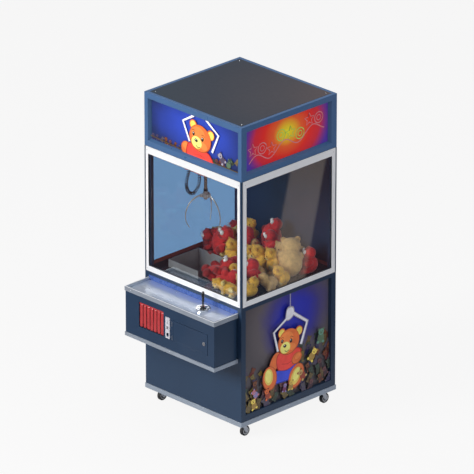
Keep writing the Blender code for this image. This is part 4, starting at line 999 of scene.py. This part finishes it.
cream = pile("cream", (0.74, 0.62, 0.42))
plush_looks = {
    "red": [pile("red", (0.62, 0.026, 0.026)), cream, pile("deep_red", (0.3, 0.014, 0.014))],
    "yellow": [pile("yellow", (0.8, 0.45, 0.055)), pile("pale_yellow", (0.86, 0.66, 0.24)),
               pile("amber", (0.56, 0.26, 0.03))],
    "tan": [pile("tan", (0.6, 0.385, 0.15)), pile("pale_tan", (0.68, 0.47, 0.22)),
            pile("brown", (0.5, 0.29, 0.1))],
}
eye_black = finish("eye_black", (0.008, 0.008, 0.01), 0.12, drift=0.1, cloud=200.0, coat=0.8)
eye_white = finish("eye_white", (0.86, 0.86, 0.84), 0.25, drift=0.03, cloud=100.0, coat=0.5)
# A toy is its colour, then in millimetres the middle and the three radii of its trunk and the middle and
# radius of its head, and last the way it faces, in degrees.
heaps = {
    "left": [
        ("red", -300, 62, 893, 50, 50, 50, -300, 32, 958, 36, 232),
        ("red", -205, 62, 924, 70, 68, 82, -168, 50, 1000, 42, 240),
        ("yellow", -105, 46, 905, 55, 52, 62, -88, 16, 962, 36, 240),
        ("tan", -300, 160, 888, 52, 50, 46, -312, 128, 942, 34, 265),
        ("yellow", -225, 160, 890, 58, 50, 48, -240, 148, 950, 35, 275),
        ("yellow", -190, 240, 922, 60, 58, 80, -172, 247, 1000, 34, 285),
        ("red", -110, 160, 914, 58, 56, 72, -116, 170, 984, 38, 226),
        ("red", -295, 262, 892, 56, 54, 50, -290, 236, 952, 36, 236),
    ],
    "front": [
        ("red", 45, -215, 889, 88, 52, 46, 72, -170, 944, 42, 230),
        ("yellow", 215, -304, 879, 82, 36, 36, 128, -306, 884, 34, 215),
        ("red", 140, -252, 884, 76, 48, 42, 184, -226, 926, 34, 120),
        ("red", 238, -128, 899, 52, 52, 56, 206, -108, 964, 40, 232),
        ("yellow", 318, -235, 875, 36, 52, 33, 306, -196, 916, 32, 230),
        ("tan", 258, -215, 884, 46, 44, 42, 244, -236, 930, 30, 262),
        ("tan", 316, -75, 878, 42, 52, 36, 304, -116, 912, 33, 250),
        ("yellow", 146, -150, 889, 62, 50, 46, 128, -176, 936, 34, 245),
        ("red", 90, -70, 886, 58, 46, 44, 56, -92, 932, 36, 240),
        ("tan", 190, -50, 888, 50, 44, 46, 176, -68, 938, 34, 262),
        ("yellow", 8, -80, 880, 42, 48, 38, -4, -112, 916, 30, 228),
    ],
    "back": [
        ("red", -20, 270, 942, 62, 60, 100, 4, 286, 1038, 36, 226),
        ("red", 66, 206, 930, 55, 53, 88, 60, 184, 1014, 36, 236),
        ("yellow", 18, 110, 888, 54, 48, 46, 10, 78, 936, 34, 240),
        ("yellow", 108, 72, 914, 56, 50, 72, 100, 40, 974, 38, 246),
        ("yellow", 190, 86, 909, 52, 48, 67, 186, 62, 974, 36, 250),
        ("tan", 272, 130, 930, 74, 70, 88, 250, 160, 1014, 52, 148),
        ("tan", 160, 186, 899, 54, 52, 57, 150, 180, 966, 37, 268),
        ("red", 314, 250, 895, 42, 50, 53, 315, 246, 966, 37, 230),
        ("tan", 228, 280, 886, 54, 52, 44, 222, 262, 940, 35, 255),
        ("red", 130, 286, 890, 52, 48, 48, 134, 262, 946, 36, 232),
        ("yellow", 316, 30, 880, 42, 44, 38, 310, 0, 924, 34, 246),
        ("tan", -64, 200, 884, 46, 52, 42, -60, 170, 930, 32, 258),
    ],
}


def toy_parts(kind, *numbers):
    """The stuffed lumps of a toy: centre, three axes, three radii, and which fabric they are cut from."""
    mm = [number / 1000 for number in numbers[:10]]
    body, radii, head, head_r, facing = at(*mm[0:3]), mm[3:6], at(*mm[6:9]), mm[9], numbers[10]
    spine = (head - body).normalized()
    ahead = Vector((math.cos(math.radians(facing)), math.sin(math.radians(facing)), 0.0))
    ahead = (ahead - spine * ahead.dot(spine)).normalized()
    face = (ahead + Vector((0.0, 0.0, -0.1))).normalized()
    upright = Vector((0, 0, 1)) * 0.7 + spine * 0.3
    upright = (upright - face * upright.dot(face)).normalized()
    across = face.cross(upright)
    side = ahead.cross(spine)
    world = (Vector((1, 0, 0)), Vector((0, 1, 0)), Vector((0, 0, 1)))

    def reach_of(way):
        return math.sqrt(sum((r * w) ** 2 for r, w in zip(radii, way)))

    long, wide, deep = reach_of(spine), reach_of(side), reach_of(ahead)
    skull = (across, face, upright)
    trunk = (side, ahead, spine)
    furry = kind == "red"
    parts = [(body, world, radii, 0), (head, skull, (head_r * 1.1, head_r * 1.0, head_r * 0.96), 0)]
    snout = head + face * head_r * 0.8 - upright * head_r * 0.24
    muzzle_r = (0.62, 0.36, 0.34) if furry else (0.46, 0.42, 0.36)
    parts.append((snout, skull, tuple(head_r * share for share in muzzle_r), 2 if furry else 1))
    for sign in (-1, 1):
        ear = head + across * sign * head_r * (0.66 if furry else 0.82) + upright * head_r * 0.74
        ear_r = head_r * (0.22 if furry else 0.36)
        parts.append((ear, skull, (ear_r, ear_r * 0.62, ear_r), 0 if furry else 2))
        limb = min(0.024, wide * 0.42)
        shoulder = body + spine * long * 0.46 + side * sign * wide * 0.8
        hand = shoulder + ahead * deep * 0.75 - spine * long * 0.2 + side * sign * wide * 0.18
        hip = body - spine * long * 0.62 + side * sign * wide * 0.52 + ahead * deep * 0.4
        foot = hip + ahead * deep * 0.72 + side * sign * wide * 0.16
        for near, far, last in ((shoulder, hand, 0.95), (hip, foot, 1.2)):
            for t in (0.0, 0.35, 0.7):
                lump = near.lerp(far, t)
                parts.append((lump, trunk, (limb * 0.95,) * 3, 0))
            parts.append((far, trunk, (limb * last, limb * last * 0.8, limb * last), 2 if furry else 1))
    return parts, (head, skull, head_r)


def depth_in(points, parts):
    """How far out each point is in its nearest lump: 1 on the surface, less inside. Also which lump."""
    best = np.full(len(points), 9.0)
    which = np.zeros(len(points), dtype=int)
    for k, (centre, axes, radii, _) in enumerate(parts):
        rel = (points - np.array(centre)) @ np.array([list(a) for a in axes]).T / np.array(radii)
        d = np.sqrt((rel ** 2).sum(axis=1))
        which[d < best] = k
        best = np.minimum(best, d)
    return best, which


def sewn(name, parts):
    """Sews the lumps into one closed skin, still a modifier."""
    raw = bmesh.new()
    for centre, axes, radii, _ in parts:
        lump = bmesh.ops.create_icosphere(raw, subdivisions=3, radius=1.0)["verts"]
        turn = Matrix([list(a) for a in axes]).transposed().to_4x4()
        stand = Matrix.Translation(centre) @ turn @ Matrix.Diagonal((*radii, 1.0))
        bmesh.ops.transform(raw, matrix=stand, verts=lump)
    rough = bpy.data.meshes.new("rough")
    raw.to_mesh(rough)
    raw.free()
    carrier = placed(name + "_rough", rough)
    skin = carrier.modifiers.new("skin", "REMESH")
    skin.mode = "VOXEL"
    skin.voxel_size = 0.004
    smooth = carrier.modifiers.new("smooth", "SMOOTH")
    smooth.factor = 0.5
    smooth.iterations = 5
    return carrier


seam_gap = 0.015      # how far apart two stuffed skins stay, as a share of their lumps
pan_top = 0.8412
next_to = 0.26        # toys further apart than this can't touch


def stuffed(name, kind, parts, others, skull, carrier, graph):
    """Dents one skin against its neighbours and the machine, and adds the face."""
    done = bpy.data.meshes.new_from_object(carrier.evaluated_get(graph))
    count = len(done.vertices)
    flat = np.empty(count * 3)
    done.vertices.foreach_get("co", flat)
    points = flat.reshape(-1, 3)
    own = depth_in(points, parts)[0]
    cores = parts[:2]
    centres = np.array([list(part[0]) for part in cores])[depth_in(points, cores)[1]]
    hit = np.nonzero(depth_in(points, others)[0] < own + seam_gap)[0]
    low, high = np.zeros(len(hit)), np.full(len(hit), 0.85)
    for _ in range(7):
        middle = (low + high) / 2
        trial = points[hit] + (centres[hit] - points[hit]) * middle[:, None]
        inside = depth_in(trial, others)[0] < depth_in(trial, parts)[0] + seam_gap
        low, high = np.where(inside, middle, low), np.where(inside, high, middle)
    points[hit] += (centres[hit] - points[hit]) * high[:, None]
    done.vertices.foreach_set("co", points.ravel())
    for _ in range(2):
        settled = bmesh.new()
        settled.from_mesh(done)
        bmesh.ops.smooth_vert(settled, verts=settled.verts, factor=0.5, use_axis_x=True, use_axis_y=True,
                              use_axis_z=True)
        settled.to_mesh(done)
        settled.free()
    done.vertices.foreach_get("co", flat)
    normals = np.empty(count * 3)
    done.vertices.foreach_get("normal", normals)
    points = flat.reshape(-1, 3)
    for p, normal in zip(points, normals.reshape(-1, 3)):
        spot = Vector(p)
        p += normal * (0.0011 * noise.noise(spot * 60.0) + 0.0006 * noise.noise(spot * 190.0))
    points[:, 2] = np.maximum(points[:, 2], pan_top)
    points[:, 0] = np.clip(points[:, 0], -0.3585, 0.3615)
    points[:, 1] = np.clip(points[:, 1], mid_y - 0.344, mid_y + 0.344)
    chute_right, chute_front, chute_back, chute_top = -0.04, -0.2735, -0.024, 0.8895
    for p in points:
        if p[0] < chute_right and chute_front < p[1] - mid_y < chute_back and p[2] < chute_top:
            outs = (chute_right - p[0], mid_y + chute_back - p[1], chute_top - p[2])
            way = outs.index(min(outs))
            p[way] += outs[way]
    done.vertices.foreach_set("co", points.ravel())
    done.update()
    nearest = depth_in(points, parts)[1]
    for face in done.polygons:
        face.material_index = parts[nearest[face.vertices[0]]][3]
    whole = bmesh.new()
    whole.from_mesh(done)
    head, (across, face, upright), head_r = skull
    furry = kind == "red"

    def bead(place, radius, index, squash=1.0):
        turn = Matrix((list(across), list(face), list(upright))).transposed().to_4x4()
        shape = Matrix.Diagonal((radius, radius * squash, radius, 1.0))
        made = bmesh.ops.create_icosphere(whole, subdivisions=3, radius=1.0,
                                          matrix=Matrix.Translation(place) @ turn @ shape)["verts"]
        for f in {f for v in made for f in v.link_faces}:
            f.material_index = index

    for sign in (-1, 1):
        if furry:
            place = head + (face * 0.8 + across * sign * 0.4 + upright * 0.42).normalized() * head_r * 0.96
            bead(place, head_r * 0.37, 4, 0.85)
            bead(place + face * head_r * 0.3, head_r * 0.12, 3, 0.5)
        else:
            place = head + (face * 0.9 + across * sign * 0.38 + upright * 0.26).normalized() * head_r * 0.99
            bead(place, head_r * 0.105, 3, 0.7)
    if not furry:
        bead(head + face * head_r * 1.2 - upright * head_r * 0.1, head_r * 0.15, 3, 0.7)
    for f in whole.faces:
        f.smooth = True
    whole.to_mesh(done)
    whole.free()
    for look in plush_looks[kind] + [eye_black, eye_white]:
        done.materials.append(look)
    toy = placed(name, done)
    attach(toy, "cabinet")
    return toy


made_toys = [(heap, k, row[0], *toy_parts(*row)) for heap, rows in heaps.items()
             for k, row in enumerate(rows)]
skins = [sewn("plush_%s_%02d" % (heap, k + 1), parts) for heap, k, _, parts, _ in made_toys]
graph = bpy.context.evaluated_depsgraph_get()
for (heap, k, kind, parts, skull), carrier in zip(made_toys, skins):
    near = [p for other in made_toys if other[3] is not parts for p in other[3]
            if (p[0] - parts[0][0]).length < next_to]
    toy = stuffed("plush_%s_%02d" % (heap, k + 1), kind, parts, near, skull, carrier, graph)
    if k == 0:
        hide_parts("plush_heap_" + heap)
for carrier in skins:
    bpy.data.meshes.remove(carrier.data)
